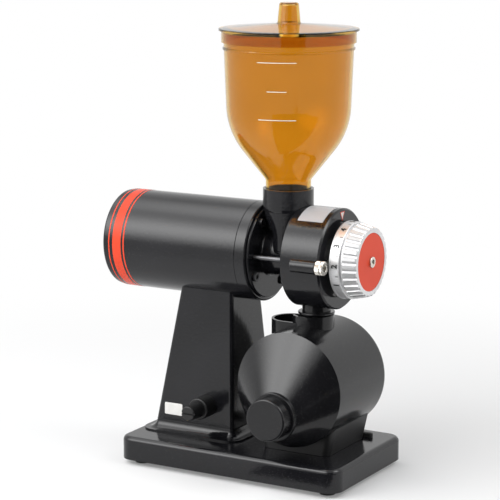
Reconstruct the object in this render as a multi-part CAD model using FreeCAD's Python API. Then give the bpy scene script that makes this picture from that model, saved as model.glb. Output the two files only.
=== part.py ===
import FreeCAD, Part
import math
import os

Vec = FreeCAD.Vector
X_AXIS = Vec(1, 0, 0)
Y_AXIS = Vec(0, 1, 0)
Z_AXIS = Vec(0, 0, 1)

# Every size is in millimetres. X runs along the motor towards the dial, Y away from the spout side,
# Z up from the table. Lengths along X start at the seam between the motor tube and its front bracket.

# Clearances
RUN_FIT = 0.05
SEAT_GAP = 0.1
MOVE_GAP = 0.3
THREAD_GAP = 0.05
SAME_PLACE = 1e-4

# Edges
EDGE_FINE = 0.6
EDGE_SOFT = 1.2
END_FLAT = 0.02

# Base tray, bottom cover and feet
BASE_LENGTH = 203.0
BASE_WIDTH = 121.5
BASE_HEIGHT = 19.3
BASE_CORNER = 12.0
BASE_EDGE = 4.0
BASE_WALL = 4.0
BASE_ROOF = 4.5
BASE_RIB = 3.0
BASE_RIB_DEPTH = 8.0
BASE_RIB_SPACING = 52.0
FOOT_HEIGHT = 4.5
FOOT_RADIUS = 7.0
FOOT_TAPER = 0.8
FOOT_INSET = 15.0
FOOT_RECESS = 2.4
BOTTOM_PLATE = 1.5
BOTTOM_SLOTS = 6
BOTTOM_SLOT_PITCH = 9.0
BOTTOM_SLOT_WIDTH = 3.0
BOTTOM_SLOT_LENGTH = 34.0

# Machine screws
SCREW_RADIUS = 2.0
SCREW_HEAD_RADIUS = 3.6
SCREW_HEAD = 1.8
SCREW_REACH = 8.0
BOSS_RADIUS = 6.0

# Pillar
PILLAR_FRONT = 10.6
PILLAR_LENGTH = 75.4
PILLAR_NEAR = 25.0
PILLAR_DEPTH = 71.0
PILLAR_REAR_LEAN = 0.217
PILLAR_SIDE_LEAN = 0.2
PILLAR_ROUND = 3.0
PILLAR_WALL = 4.0
PILLAR_FLANGE = 9.0
PILLAR_FLANGE_THICK = 1.2
PILLAR_FLARE = 7.5
PILLAR_BOSS_SUNK = 2.0
PILLAR_BOSS_HEIGHT = 18.0
SADDLE_WALL = 9.0
SADDLE_SCREW_SPACING = 22.0
WIRE_SLOT_LENGTH = 26.0
WIRE_SLOT_WIDTH = 10.0

# Cord gland in the rear wall of the base
GLAND_RADIUS = 4.4
GLAND_BORE = 3.2
GLAND_HEX = 6.4
GLAND_DOME_RADIUS = 5.25
GLAND_LENGTH = 8.0
GLAND_NUT = 4.0

# Fuse holder on the near face of the pillar
FUSE_FROM_FRONT = 23.7
FUSE_HEIGHT = 26.2
FUSE_SLEEVE_RADIUS = 9.0
FUSE_SLEEVE_LENGTH = 15.0
FUSE_TAIL_RADIUS = 6.4
FUSE_TAIL_LENGTH = 21.0
FUSE_SOCKET_RADIUS = 5.2
FUSE_SOCKET_DEPTH = 10.0
FUSE_CAP_RADIUS = 6.7
FUSE_CAP_LENGTH = 15.7
FUSE_CAP_SLOT = 1.6
FUSE_CAP_TAPER = 0.6
FUSE_RADIUS = 2.6
FUSE_LENGTH = 20.0
FUSE_NUT_THICK = 4.0
FUSE_NUT_RADIUS = 10.0

# Rocker switch on the far face of the pillar
SWITCH_FROM_FRONT = 32.0
SWITCH_HEIGHT = 72.0
SWITCH_BEZEL_WIDTH = 18.0
SWITCH_BEZEL_HEIGHT = 26.0
SWITCH_BEZEL = 2.0
SWITCH_CORNER = 2.0
SWITCH_BODY_WIDTH = 13.6
SWITCH_BODY_HEIGHT = 20.0
SWITCH_BODY_DEPTH = 14.0
ROCKER_WIDTH = 10.6
ROCKER_LENGTH = 15.2
ROCKER_RISE = 2.6
ROCKER_DEPTH = 5.0
ROCKER_TILT = 8.0
ROCKER_DISH = 1.2
ROCKER_DISH_ROUND = 8.0
ROCKER_HEEL_ROUND = 2.0
ROCKER_PIN_RADIUS = 1.2
ROCKER_SIDE_GAP = 0.35
ROCKER_END_GAP = 1.0

# Electrical pieces inside the pillar
CAPACITOR_RADIUS = 13.0
CAPACITOR_LENGTH = 46.0
CAPACITOR_STUD_RADIUS = 3.0
CAPACITOR_FROM_FRONT = 37.0
CAPACITOR_Y = 14.0
TERMINAL_LENGTH = 24.0
TERMINAL_DEPTH = 12.0
TERMINAL_HEIGHT = 16.0
TERMINAL_RISE = 70.0
TERMINAL_FROM_FRONT = 16.0
TERMINAL_WAYS = 3
TERMINAL_WIRE_RADIUS = 1.6
TERMINAL_SCREW_RADIUS = 2.0

# Motor
MOTOR_RADIUS = 40.6
MOTOR_WALL = 2.5
MOTOR_LENGTH = 121.1
REAR_COVER_LENGTH = 5.0
REAR_COVER_STEP = 0.6
REAR_COVER_ROUND = 2.2
REAR_COVER_WALL = 4.0
REAR_VENTS = 12
REAR_VENT_WIDTH = 3.2
REAR_VENT_INNER = 20.0
REAR_VENT_OUTER = 30.0
SPIGOT_LENGTH = 5.0
SPIGOT_WALL = 6.5
BAND_DEPTH = 0.4
BAND_PROUD = 0.1
BAND_STARTS = (1.3, 5.3, 15.4)
BAND_WIDTHS = (1.1, 8.2, 1.3)
BRACKET_LENGTH = 9.9
BRACKET_ROUND = 1.2
BRACKET_LIP = 2.0
BEARING_WIDTH = 8.0
BEARING_LIP = 3.0
REAR_BEARING_RADIUS = 13.0
FRONT_BEARING_RADIUS = 14.0
REAR_JOURNAL_RADIUS = 5.0
SHAFT_RADIUS = 6.0
ROTOR_SHAFT_RADIUS = 7.0
BOLT_CIRCLE = 34.5
BOLT_COUNT = 4
BOLT_ANGLE = 45.0
BOLT_HEAD = 3.4
STATOR_START = 36.0
STATOR_LENGTH = 50.0
STATOR_BORE = 19.5
STATOR_SLOTS = 12
STATOR_SLOT_DEPTH = 9.0
STATOR_SLOT_WIDTH = 4.0
WINDING_OVERHANG = 12.0
WINDING_GAP = 0.4
AIR_GAP = 0.5
ROTOR_OVERHANG = 2.0
FAN_LENGTH = 9.0
FAN_RADIUS = 30.0
FAN_HUB_RADIUS = 10.0
FAN_BLADES = 9
FAN_BLADE = 1.6
FAN_PITCH = 35.0
FAN_CLEARANCE = 3.0

# Feed housing between the motor and the burr chamber
FLANGE_RADIUS = 38.0
FLANGE_THICK = 2.2
FLANGE_SCREW_CIRCLE = 31.0
FLANGE_SCREW_ANGLE = 32.0
FLANGE_SCREW_COUNT = 4
SEAL_RADIUS = 9.0
BARREL_RADIUS = 18.5
BARREL_BORE = 15.0
BARREL_LENGTH = 29.7
BARREL_ROOT = 2.0
THROAT_RADIUS = 20.5
THROAT_WALL = 2.0
THROAT_RISE = 53.4
THROAT_SOCKET = 12.2
THROAT_STRAIGHT = 17.8
THROAT_FROM_DRUM = 14.3
THROAT_NECK = 12.6
THROAT_NECK_WALL = 2.3
THROAT_TAPER = 12.5
THROAT_SHOULDER_ROUND = 9.0
THROAT_LEDGE = 2.0
STUD_RADIUS = 2.0
STUD_CIRCLE = 28.0
STUD_NUT_RADIUS = 4.2
STUD_NUT = 3.4

# Burr chamber and front cover
DRUM_RADIUS = 40.5
DRUM_WALL = 5.0
DRUM_REAR = 4.0
DRUM_LENGTH = 27.6
COVER_LENGTH = 6.9
COVER_CHAMFER = 1.2
COVER_RECESS_RADIUS = 30.5
COVER_RECESS = 2.9
COVER_PLATE = 3.0
COVER_SPIGOT = 4.0
COVER_SPIGOT_WALL = 3.2
EAR_RADIUS = 5.5
EAR_OFFSET = 42.0
EAR_LENGTH = 15.0
EAR_COVER = 6.6
THUMB_RADIUS = 5.6
THUMB_LENGTH = 7.3
THUMB_CHAMFER = 0.7
THUMB_SOCKET_RADIUS = 2.6
THUMB_SOCKET_DEPTH = 4.0
THUMB_SHANK = 12.0

# Burrs, auger and adjusting parts
BURR_RADIUS = 31.0
BURR_FLAT = 25.0
FIXED_BURR = 6.0
ROTATING_BURR = 5.0
ROTATING_BURR_BORE = 14.0
BURR_DISH = 3.0
BURR_GAP = 0.87
BURR_TEETH = 16
BURR_TOOTH_WIDTH = 1.8
BURR_TOOTH_DEPTH = 1.2
BURR_TOOTH_SKEW = 22.0
BURR_SCREWS = 3
BURR_SCREW_CIRCLE = 28.0
BURR_SCREW_RADIUS = 1.5
BURR_SCREW_HEAD = 2.6
BURR_SCREW_REACH = 3.0
HOLDER_THICK = 5.0
HOLDER_HUB_RADIUS = 9.0
HOLDER_HUB = 3.0
HOLDER_PAD_RADIUS = 6.0
HOLDER_PAD = 1.3
HOLDER_VANES = 3
HOLDER_VANE = 3.0
HOLDER_VANE_REACH = 3.0
SHAFT_END_RADIUS = 5.0
SHAFT_END_FLAT = 3.6
SHAFT_END_DEPTH = 3.2
SHAFT_END_GAP = 1.0
AUGER_RADIUS = 14.2
AUGER_CORE = 8.0
AUGER_FLIGHT = 3.0
AUGER_TURNS = 1.5
AUGER_STEPS = 16
AUGER_END_GAP = 1.5
PLUNGER_RADIUS = 6.0
PLUNGER_TIP = 0.7
PLUNGER_DISC_RADIUS = 21.5
PLUNGER_DISC = 2.2
PLUNGER_LENGTH = 22.0
PLUNGER_TOUCH = 0.05
GUIDE_PIN_RADIUS = 2.0
GUIDE_PIN_CIRCLE = 18.0
GUIDE_PINS = 2

# Adjusting dial
DIAL_STANDOFF = 4.2
DIAL_HUB_RADIUS = 13.0
DIAL_HUB_TAIL = 1.8
DIAL_SHOULDER_RADIUS = 16.0
DIAL_CORE_RADIUS = 28.0
DIAL_LIP_RADIUS = 31.2
DIAL_LIP = 1.8
DIAL_RING_RADIUS = 30.9
DIAL_RING = 8.8
DIAL_GROOVE = 2.0
DIAL_GROOVE_RADIUS = 28.8
DIAL_GRIP = 11.2
DIAL_GRIP_RADIUS = 30.2
DIAL_FACE_RADIUS = 27.6
DIAL_FLUTES = 30
DIAL_FLUTE_RADIUS = 2.0
DIAL_FLUTE_DEPTH = 0.8
DIAL_DISC_RADIUS = 23.2
DIAL_DISC = 0.6
DIAL_DISC_SUNK = 0.8
DIAL_SCREW_HEAD_RADIUS = 4.4
DIAL_SCREW_HEAD = 1.8
DIAL_SCREW_RADIUS = 2.5
DIAL_SCREW_REACH = 8.0
RETAINER_RADIUS = 15.0
RETAINER_THICK = 1.0
RETAINER_GROOVE = 1.5
RETAINER_SLOT = 8.0

# Outlet chute under the burr chamber
CHUTE_RADIUS = 11.6
CHUTE_INSET = 0.3
CHUTE_WALL = 1.8
CHUTE_DROP = 5.7
CHUTE_BRIM_RADIUS = 14.9
CHUTE_BRIM = 1.8
CHUTE_OVER_CUP = 1.0

# Receiving cup
CUP_OFFSET = 3.0
CUP_RADIUS = 46.5
CUP_WALL = 2.4
CUP_LENGTH = 82.0
CUP_END_ROUND = 5.0
CUP_LIFT = 7.3
CUP_COLLAR_RISE = 2.4
CUP_COLLAR_HALF = 16.2
CUP_COLLAR_TAIL = 36.0
CUP_COLLAR_WALL = 2.0
CUP_GUARD_RADIUS = 17.2
CUP_GUARD_RISE = 5.6
CUP_GUARD_BACK = 12.0
CUP_CONE_LENGTH = 22.0
CUP_CONE_DROP = 16.0
CUP_SPOUT_RADIUS = 19.4
CUP_SPOUT_RING = 4.0
CUP_NECK_RADIUS = 15.2
CUP_NECK_LENGTH = 8.0
CUP_SPIGOT = 5.0
CUP_CAP_RADIUS = 17.1
CUP_CAP_WALL = 1.6
CUP_CAP_LENGTH = 11.5
CUP_CAP_ROUND = 1.6
CUP_FOOT_HALF = 29.6
CUP_FOOT_TOP_HALF = 35.0
CUP_FOOT_TOP = 24.0
CUP_FOOT_NEAR = 30.0
CUP_FOOT_FAR = 36.0
CUP_FOOT_ROUND = 6.0
CUP_FOOT_GAP = 0.2
CUP_STOP_HEIGHT = 3.7
CUP_STOP_WIDTH = 4.0
CUP_STOP_GAP = 1.2
CUP_STOP_OVERHANG = 5.5

# Hopper and lid
HOPPER_WALL = 2.2
HOPPER_NECK_RISE = 19.2
HOPPER_NECK_ROUND = 4.0
HOPPER_SHOULDER_RADIUS = 49.05
HOPPER_SHOULDER_RISE = 58.0
HOPPER_ROUND = 60.0
HOPPER_MOUTH_RADIUS = 52.2
HOPPER_HEIGHT = 136.6
HOPPER_BEAD_DROP = 11.6
HOPPER_BEAD = 2.0
HOPPER_BEAD_PROUD = 0.9
LID_SKIRT = 7.6
LID_SKIRT_WALL = 1.2
LID_RIM_RADIUS = 55.8
LID_RIM = 1.6
LID_WALL = 2.0
LID_DOME = 3.8
KNOB_BASE_RADIUS = 9.2
KNOB_TOP_RADIUS = 7.65
KNOB_HEIGHT = 16.4
KNOB_ROUND = 2.0
KNOB_ROOT = 1.5

# Heights, from the table upwards
BASE_Z = FOOT_HEIGHT
COVER_Z = BASE_Z + BOTTOM_PLATE
TOP_Z = BASE_Z + BASE_HEIGHT
ROOF_Z = TOP_Z - BASE_ROOF
CUP_Z = TOP_Z + CUP_LIFT + CUP_RADIUS
COLLAR_Z = CUP_Z + CUP_RADIUS + CUP_COLLAR_RISE
GUARD_Z = COLLAR_Z + CUP_GUARD_RISE
CHUTE_Z = GUARD_Z + CHUTE_OVER_CUP
AXIS_Z = CHUTE_Z + CHUTE_DROP + DRUM_RADIUS
THROAT_Z = AXIS_Z + THROAT_RISE
HOPPER_Z = THROAT_Z - THROAT_SOCKET
LID_Z = HOPPER_Z + HOPPER_HEIGHT
SADDLE_Z = AXIS_Z - MOTOR_RADIUS

# Stations along the motor axis
SEAM_X = -2.4
TUBE_X = SEAM_X - MOTOR_LENGTH
REAR_X = TUBE_X - REAR_COVER_LENGTH
BRACKET_X = SEAM_X + BRACKET_LENGTH
FLANGE_X = BRACKET_X + FLANGE_THICK
DRUM_X = FLANGE_X + BARREL_LENGTH
CHAMBER_X = DRUM_X + DRUM_REAR
DRUM_END_X = DRUM_X + DRUM_LENGTH
COVER_X = DRUM_END_X + COVER_LENGTH
RECESS_X = COVER_X - COVER_RECESS
PLATE_X = RECESS_X - COVER_PLATE
DIAL_X = COVER_X + DIAL_STANDOFF
RING_X = DIAL_X + DIAL_RING
GRIP_X = RING_X + DIAL_GROOVE
FACE_X = GRIP_X + DIAL_GRIP
DISC_X = FACE_X - DIAL_DISC_SUNK
DIAL_END_X = DISC_X + DIAL_DISC + DIAL_SCREW_HEAD
FIXED_BURR_X = CHAMBER_X + FIXED_BURR
ROTATING_BURR_X = FIXED_BURR_X + BURR_GAP
HOLDER_X = ROTATING_BURR_X + ROTATING_BURR
HOLDER_END_X = HOLDER_X + HOLDER_THICK
PAD_X = HOLDER_END_X + HOLDER_PAD
PLUNGER_X = PAD_X + PLUNGER_TOUCH
PLUNGER_DISC_X = PLUNGER_X + PLUNGER_TIP
SHAFT_END_X = HOLDER_X + SHAFT_END_DEPTH
THROAT_X = DRUM_X - THROAT_FROM_DRUM
CHUTE_X = DRUM_X + CHUTE_RADIUS + CHUTE_INSET
CUP_X = CHUTE_X - CUP_OFFSET
STATOR_X1 = SEAM_X - STATOR_START
STATOR_X0 = STATOR_X1 - STATOR_LENGTH
REAR_BEARING_X = REAR_X + REAR_COVER_WALL
FRONT_BEARING_X = BRACKET_X - BRACKET_LIP - BEARING_WIDTH
FAN_X = REAR_BEARING_X + BEARING_WIDTH + FAN_CLEARANCE
PILLAR_X = SEAM_X - PILLAR_FRONT

# Depths, measured from the motor plane
CUP_NEAR_Y = -CUP_LENGTH / 2
CONE_Y = CUP_NEAR_Y - CUP_CONE_LENGTH
SPOUT_Y = CONE_Y - CUP_SPOUT_RING
CAP_Y = SPOUT_Y - MOVE_GAP - CUP_CAP_LENGTH
SPOUT_Z = CUP_Z - CUP_CONE_DROP
FUSE_X = PILLAR_X - FUSE_FROM_FRONT
FUSE_Z = TOP_Z + FUSE_HEIGHT
SLEEVE_Y = -PILLAR_NEAR - FUSE_SLEEVE_LENGTH
SOCKET_Y = SLEEVE_Y + FUSE_SOCKET_DEPTH
TAIL_Y = -PILLAR_NEAR + FUSE_TAIL_LENGTH

# The written origin: middle of the standing object's box, on the table
RIGHT_X = max(BASE_LENGTH / 2, DIAL_END_X)
ORIGIN = Vec((REAR_X + RIGHT_X) / 2, (CAP_Y + BASE_WIDTH / 2) / 2, 0)


# Outlines and basic solids

def outline(corners):
    """Closed wire through corners given as (point, rounding)."""
    runs = []
    for index, (here, rounding) in enumerate(corners):
        if not rounding:
            runs.append((here,))
            continue
        before = (corners[index - 1][0] - here).normalize()
        after = (corners[(index + 1) % len(corners)][0] - here).normalize()
        half = before.getAngle(after) / 2
        reach = rounding / math.tan(half)
        middle = (before + after).normalize() * (rounding / math.sin(half) - rounding)
        runs.append((here + before * reach, here + middle, here + after * reach))
    edges = []
    for index, run in enumerate(runs):
        if len(run) == 3:
            edges.append(Part.Arc(*run).toShape())
        start, end = run[-1], runs[(index + 1) % len(runs)][0]
        if start.distanceToPoint(end) > SAME_PLACE:
            edges.append(Part.makeLine(start, end))
    return Part.Wire(edges)


def lathe(points, origin, axis, side):
    """Turn a closed outline of (along, out, rounding) points about a line."""
    corners = [(origin + axis * along + side * out, rounding) for along, out, rounding in points]
    return Part.Face(outline(corners)).revolve(origin, axis, 360)


def rounded(points):
    """Give plain (along, out) points a rounding of zero."""
    return [point if len(point) == 3 else (*point, 0) for point in points]


def lathe_x(points, y=0.0, z=AXIS_Z):
    return lathe(rounded(points), Vec(0, y, z), X_AXIS, Z_AXIS)


def lathe_y(points, x, z):
    return lathe(rounded(points), Vec(x, 0, z), Y_AXIS, Z_AXIS)


def lathe_z(points, x, y):
    return lathe(rounded(points), Vec(x, y, 0), Z_AXIS, X_AXIS)


def rod_x(x0, x1, radius, y=0.0, z=AXIS_Z):
    return Part.makeCylinder(radius, x1 - x0, Vec(x0, y, z), X_AXIS)


def rod_y(y0, y1, radius, x, z):
    return Part.makeCylinder(radius, y1 - y0, Vec(x, y0, z), Y_AXIS)


def rod_z(z0, z1, radius, x, y):
    return Part.makeCylinder(radius, z1 - z0, Vec(x, y, z0), Z_AXIS)


def ring_x(x0, x1, outer, inner):
    return rod_x(x0, x1, outer).cut(rod_x(x0, x1, inner))


def block(x0, x1, y0, y1, z0, z1):
    return Part.makeBox(x1 - x0, y1 - y0, z1 - z0, Vec(x0, y0, z0))


def rectangle(x0, x1, y0, y1, z, rounding):
    """Level rounded rectangle."""
    places = ((x0, y0), (x1, y0), (x1, y1), (x0, y1))
    return outline([(Vec(x, y, z), rounding) for x, y in places])


def slab(x0, x1, y0, y1, z0, z1, rounding):
    """Upright prism with rounded corners."""
    face = Part.Face(rectangle(x0, x1, y0, y1, z0, rounding))
    return face.extrude(Vec(0, 0, z1 - z0))


def hexagon(start, direction, length, radius):
    """Hexagonal prism with the given corner radius."""
    turn = FreeCAD.Rotation(Z_AXIS, direction)
    corners = []
    for index in range(6):
        angle = math.radians(60 * index)
        spoke = Vec(radius * math.cos(angle), radius * math.sin(angle), 0)
        corners.append(start + turn.multVec(spoke))
    return Part.Face(Part.makePolygon(corners + corners[:1])).extrude(direction * length)


def about_axis(shape, degrees):
    """Copy turned about the motor axis, from the top towards the near side."""
    turned = shape.copy()
    turned.rotate(Vec(0, 0, AXIS_Z), X_AXIS, degrees)
    return turned


def on_circle(radius, degrees):
    """Y and Z of a place on a circle about the motor axis, angle from the top towards the near side."""
    angle = math.radians(degrees)
    return -radius * math.sin(angle), AXIS_Z + radius * math.cos(angle)


def spread(count, first=0.0):
    """Evenly spaced angles of a full turn."""
    return [first + 360 * index / count for index in range(count)]


def fuse(first, *others):
    return first.fuse(list(others)).removeSplitter()


def cut(shape, *tools):
    return shape.cut(list(tools))


def level_edges(shape, z):
    """Edges that lie wholly at one height."""
    found = []
    for edge in shape.Edges:
        bounds = edge.BoundBox
        if abs(bounds.ZMin - z) + abs(bounds.ZMax - z) < SAME_PLACE:
            found.append(edge)
    return found


# Base, bottom cover and feet

def foot_places():
    x = BASE_LENGTH / 2 - FOOT_INSET
    y = BASE_WIDTH / 2 - FOOT_INSET
    return [(sx * x, sy * y) for sx in (-1, 1) for sy in (-1, 1)]


def pillar_bolt_places():
    inset = PILLAR_WALL + BOSS_RADIUS - PILLAR_BOSS_SUNK
    x0 = PILLAR_X - PILLAR_LENGTH + inset
    x1 = PILLAR_X - inset
    y0 = -PILLAR_NEAR + inset
    y1 = pillar_far_y(TOP_Z) - inset
    return [(x, y) for x in (x0, x1) for y in (y0, y1)]


def base_slab(inset, z0, z1):
    x = BASE_LENGTH / 2 - inset
    y = BASE_WIDTH / 2 - inset
    return slab(-x, x, -y, y, z0, z1, BASE_CORNER - inset)


def wire_slot(z0, z1):
    x = PILLAR_X - PILLAR_WALL - 2 * BOSS_RADIUS
    y = -PILLAR_NEAR + PILLAR_WALL + WIRE_SLOT_WIDTH / 2
    return block(x - WIRE_SLOT_LENGTH, x, y, y + WIRE_SLOT_WIDTH, z0, z1)


def base():
    body = base_slab(0, BASE_Z, TOP_Z)
    body = body.makeFillet(BASE_EDGE, level_edges(body, TOP_Z))
    body = body.cut(base_slab(BASE_WALL, BASE_Z, ROOF_Z))
    added = [rod_z(COVER_Z, ROOF_Z, BOSS_RADIUS, x, y) for x, y in foot_places()]
    half = BASE_LENGTH / 2 - BASE_WALL
    for side in (-1, 1):
        y = side * BASE_RIB_SPACING / 2
        added.append(block(-half, half, y - BASE_RIB / 2, y + BASE_RIB / 2, ROOF_Z - BASE_RIB_DEPTH, ROOF_Z))
    body = fuse(body, *added)
    holes = [rod_z(COVER_Z, COVER_Z + SCREW_REACH, SCREW_RADIUS + THREAD_GAP, x, y) for x, y in foot_places()]
    for x, y in pillar_bolt_places():
        holes.append(rod_z(ROOF_Z - BASE_RIB_DEPTH, ROOF_Z, SCREW_HEAD_RADIUS + MOVE_GAP, x, y))
        holes.append(rod_z(ROOF_Z, TOP_Z, SCREW_RADIUS + THREAD_GAP, x, y))
    holes.append(wire_slot(ROOF_Z, TOP_Z))
    holes.append(rod_z(ROOF_Z, TOP_Z, CAPACITOR_STUD_RADIUS + SEAT_GAP, *capacitor_place()))
    holes.append(rod_x(-BASE_LENGTH / 2, -half, GLAND_RADIUS + SEAT_GAP, 0, gland_height()))
    return cut(body, *holes)


def bottom_cover():
    plate = base_slab(BASE_WALL + MOVE_GAP, BASE_Z, COVER_Z)
    holes = [rod_z(BASE_Z, COVER_Z, SCREW_RADIUS + THREAD_GAP, x, y) for x, y in foot_places()]
    for index in range(BOTTOM_SLOTS):
        x = (index - (BOTTOM_SLOTS - 1) / 2) * BOTTOM_SLOT_PITCH
        holes.append(slab(x - BOTTOM_SLOT_WIDTH / 2, x + BOTTOM_SLOT_WIDTH / 2, -BOTTOM_SLOT_LENGTH / 2,
                          BOTTOM_SLOT_LENGTH / 2, BASE_Z, COVER_Z, BOTTOM_SLOT_WIDTH / 2 - END_FLAT))
    return cut(plate, *holes)


def rubber_feet():
    feet = []
    for x, y in foot_places():
        foot = lathe_z([(0, 0), (0, FOOT_RADIUS - FOOT_TAPER), (FOOT_HEIGHT, FOOT_RADIUS),
                        (FOOT_HEIGHT, 0)], x, y)
        recess = rod_z(0, FOOT_RECESS, SCREW_HEAD_RADIUS + MOVE_GAP, x, y)
        feet.append(cut(foot, recess, rod_z(0, FOOT_HEIGHT, SCREW_RADIUS + THREAD_GAP, x, y)))
    return Part.makeCompound(feet)


def screw_up(x, y, seat, top):
    """Pan head screw driven upwards, its head under the seat."""
    head = rod_z(seat - SCREW_HEAD, seat, SCREW_HEAD_RADIUS, x, y)
    return fuse(head, rod_z(seat, top, SCREW_RADIUS, x, y))


def foot_screws():
    return Part.makeCompound([screw_up(x, y, FOOT_RECESS, COVER_Z + SCREW_REACH) for x, y in foot_places()])


def pillar_bolts():
    top = TOP_Z + PILLAR_BOSS_HEIGHT - SCREW_RADIUS
    return Part.makeCompound([screw_up(x, y, ROOF_Z, top) for x, y in pillar_bolt_places()])


def gland_height():
    return (COVER_Z + ROOF_Z) / 2


def cord_gland():
    wall = -BASE_LENGTH / 2
    head = hexagon(Vec(wall, 0, gland_height()), -X_AXIS, GLAND_LENGTH / 2, GLAND_HEX)
    middle = wall - GLAND_LENGTH / 2
    dome = lathe_x([(wall - GLAND_LENGTH, 0), (wall - GLAND_LENGTH, GLAND_RADIUS),
                    (middle, GLAND_DOME_RADIUS), (middle, 0)], 0, gland_height())
    tail = rod_x(wall, wall + BASE_WALL + GLAND_NUT, GLAND_RADIUS, 0, gland_height())
    body = fuse(head, dome, tail)
    return body.cut(rod_x(wall - GLAND_LENGTH, wall + BASE_WALL + GLAND_NUT, GLAND_BORE, 0, gland_height()))


def gland_nut():
    start = Vec(-BASE_LENGTH / 2 + BASE_WALL, 0, gland_height())
    hole = rod_x(start.x, start.x + GLAND_NUT, GLAND_RADIUS + THREAD_GAP, 0, gland_height())
    return hexagon(start, X_AXIS, GLAND_NUT, GLAND_HEX).cut(hole)


# Pillar and what it carries

def pillar_far_y(z):
    return -PILLAR_NEAR + PILLAR_DEPTH - PILLAR_SIDE_LEAN * (z - TOP_Z)


def leaning_column(inset, top):
    """Four-sided column: upright in front and near, leaning at the rear and far side."""
    rise = top - TOP_Z
    x0 = PILLAR_X - PILLAR_LENGTH + inset
    x1 = PILLAR_X - inset
    y0 = -PILLAR_NEAR + inset
    y1 = pillar_far_y(TOP_Z) - inset
    top_x0 = x0 + PILLAR_REAR_LEAN * rise
    top_y1 = y1 - PILLAR_SIDE_LEAN * rise
    side = [Vec(x0, y0, TOP_Z), Vec(x1, y0, TOP_Z), Vec(x1, y0, top), Vec(top_x0, y0, top)]
    front = [Vec(x0, y0, TOP_Z), Vec(x0, y1, TOP_Z), Vec(x0, top_y1, top), Vec(x0, y0, top)]
    along = Part.Face(Part.makePolygon(side + side[:1])).extrude(Vec(0, y1 - y0, 0))
    across = Part.Face(Part.makePolygon(front + front[:1])).extrude(Vec(x1 - x0, 0, 0))
    return along.common(across)


def pillar():
    column = leaning_column(0, AXIS_Z)
    corners = [edge for edge in column.Edges if edge.BoundBox.ZLength > AXIS_Z - TOP_Z - SEAT_GAP]
    column = column.makeFillet(PILLAR_ROUND, corners)
    grow = PILLAR_FLANGE
    ledge_z = TOP_Z + PILLAR_FLANGE_THICK
    ledge = slab(PILLAR_X - PILLAR_LENGTH - grow, PILLAR_X + grow, -PILLAR_NEAR - grow,
                 -PILLAR_NEAR + PILLAR_DEPTH + grow, TOP_Z, ledge_z, PILLAR_ROUND + grow)
    body = fuse(column, ledge)
    bounds = column.BoundBox
    bounds.enlarge(SEAT_GAP)
    inner = [edge for edge in level_edges(body, ledge_z) if bounds.isInside(edge.BoundBox)]
    body = body.makeFillet(PILLAR_FLARE, inner)
    roof = SADDLE_Z - SADDLE_WALL
    body = cut(body, leaning_column(PILLAR_WALL, roof), rod_x(TUBE_X, BRACKET_X, MOTOR_RADIUS + SEAT_GAP))
    boss_top = TOP_Z + PILLAR_BOSS_HEIGHT
    outer = leaning_column(0, boss_top)
    bosses = [rod_z(TOP_Z, boss_top, BOSS_RADIUS, x, y) for x, y in pillar_bolt_places()]
    body = fuse(body, *[boss.common(outer) for boss in bosses])
    holes = []
    for x, y in pillar_bolt_places():
        holes.append(rod_z(TOP_Z, boss_top - SCREW_RADIUS, SCREW_RADIUS + THREAD_GAP, x, y))
    for x in saddle_screw_places():
        holes.append(rod_z(roof, SADDLE_Z + MOTOR_WALL, SCREW_RADIUS + THREAD_GAP, x, 0))
    holes.append(rod_y(-PILLAR_NEAR, -PILLAR_NEAR + PILLAR_WALL, FUSE_TAIL_RADIUS + SEAT_GAP, FUSE_X, FUSE_Z))
    half_x = SWITCH_BODY_WIDTH / 2 + SEAT_GAP
    half_z = SWITCH_BODY_HEIGHT / 2 + SEAT_GAP
    depth = PILLAR_WALL * 2
    holes.append(on_far_face(block(-half_x, half_x, -depth, depth, -half_z, half_z)))
    return cut(body, *holes)


def saddle_screw_places():
    middle = PILLAR_X - PILLAR_ROUND - SADDLE_SCREW_SPACING
    return [middle - SADDLE_SCREW_SPACING / 2, middle + SADDLE_SCREW_SPACING / 2]


def saddle_screws():
    seat = SADDLE_Z - SADDLE_WALL
    top = SADDLE_Z + MOTOR_WALL - SEAT_GAP
    return Part.makeCompound([screw_up(x, 0, seat, top) for x in saddle_screw_places()])


def fuse_body():
    wall = -PILLAR_NEAR
    body = lathe_y([(SLEEVE_Y, 0), (SLEEVE_Y, FUSE_SLEEVE_RADIUS, EDGE_SOFT), (wall, FUSE_SLEEVE_RADIUS),
                    (wall, FUSE_TAIL_RADIUS), (TAIL_Y, FUSE_TAIL_RADIUS), (TAIL_Y, 0)], FUSE_X, FUSE_Z)
    socket = rod_y(SLEEVE_Y, SOCKET_Y, FUSE_SOCKET_RADIUS, FUSE_X, FUSE_Z)
    bore = rod_y(SOCKET_Y, SOCKET_Y + FUSE_LENGTH, FUSE_RADIUS + MOVE_GAP, FUSE_X, FUSE_Z)
    return cut(body, socket, bore)


def fuse_nut():
    start = Vec(FUSE_X, -PILLAR_NEAR + PILLAR_WALL, FUSE_Z)
    hole = rod_y(start.y, start.y + FUSE_NUT_THICK, FUSE_TAIL_RADIUS + THREAD_GAP, FUSE_X, FUSE_Z)
    return hexagon(start, Y_AXIS, FUSE_NUT_THICK, FUSE_NUT_RADIUS).cut(hole)


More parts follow.
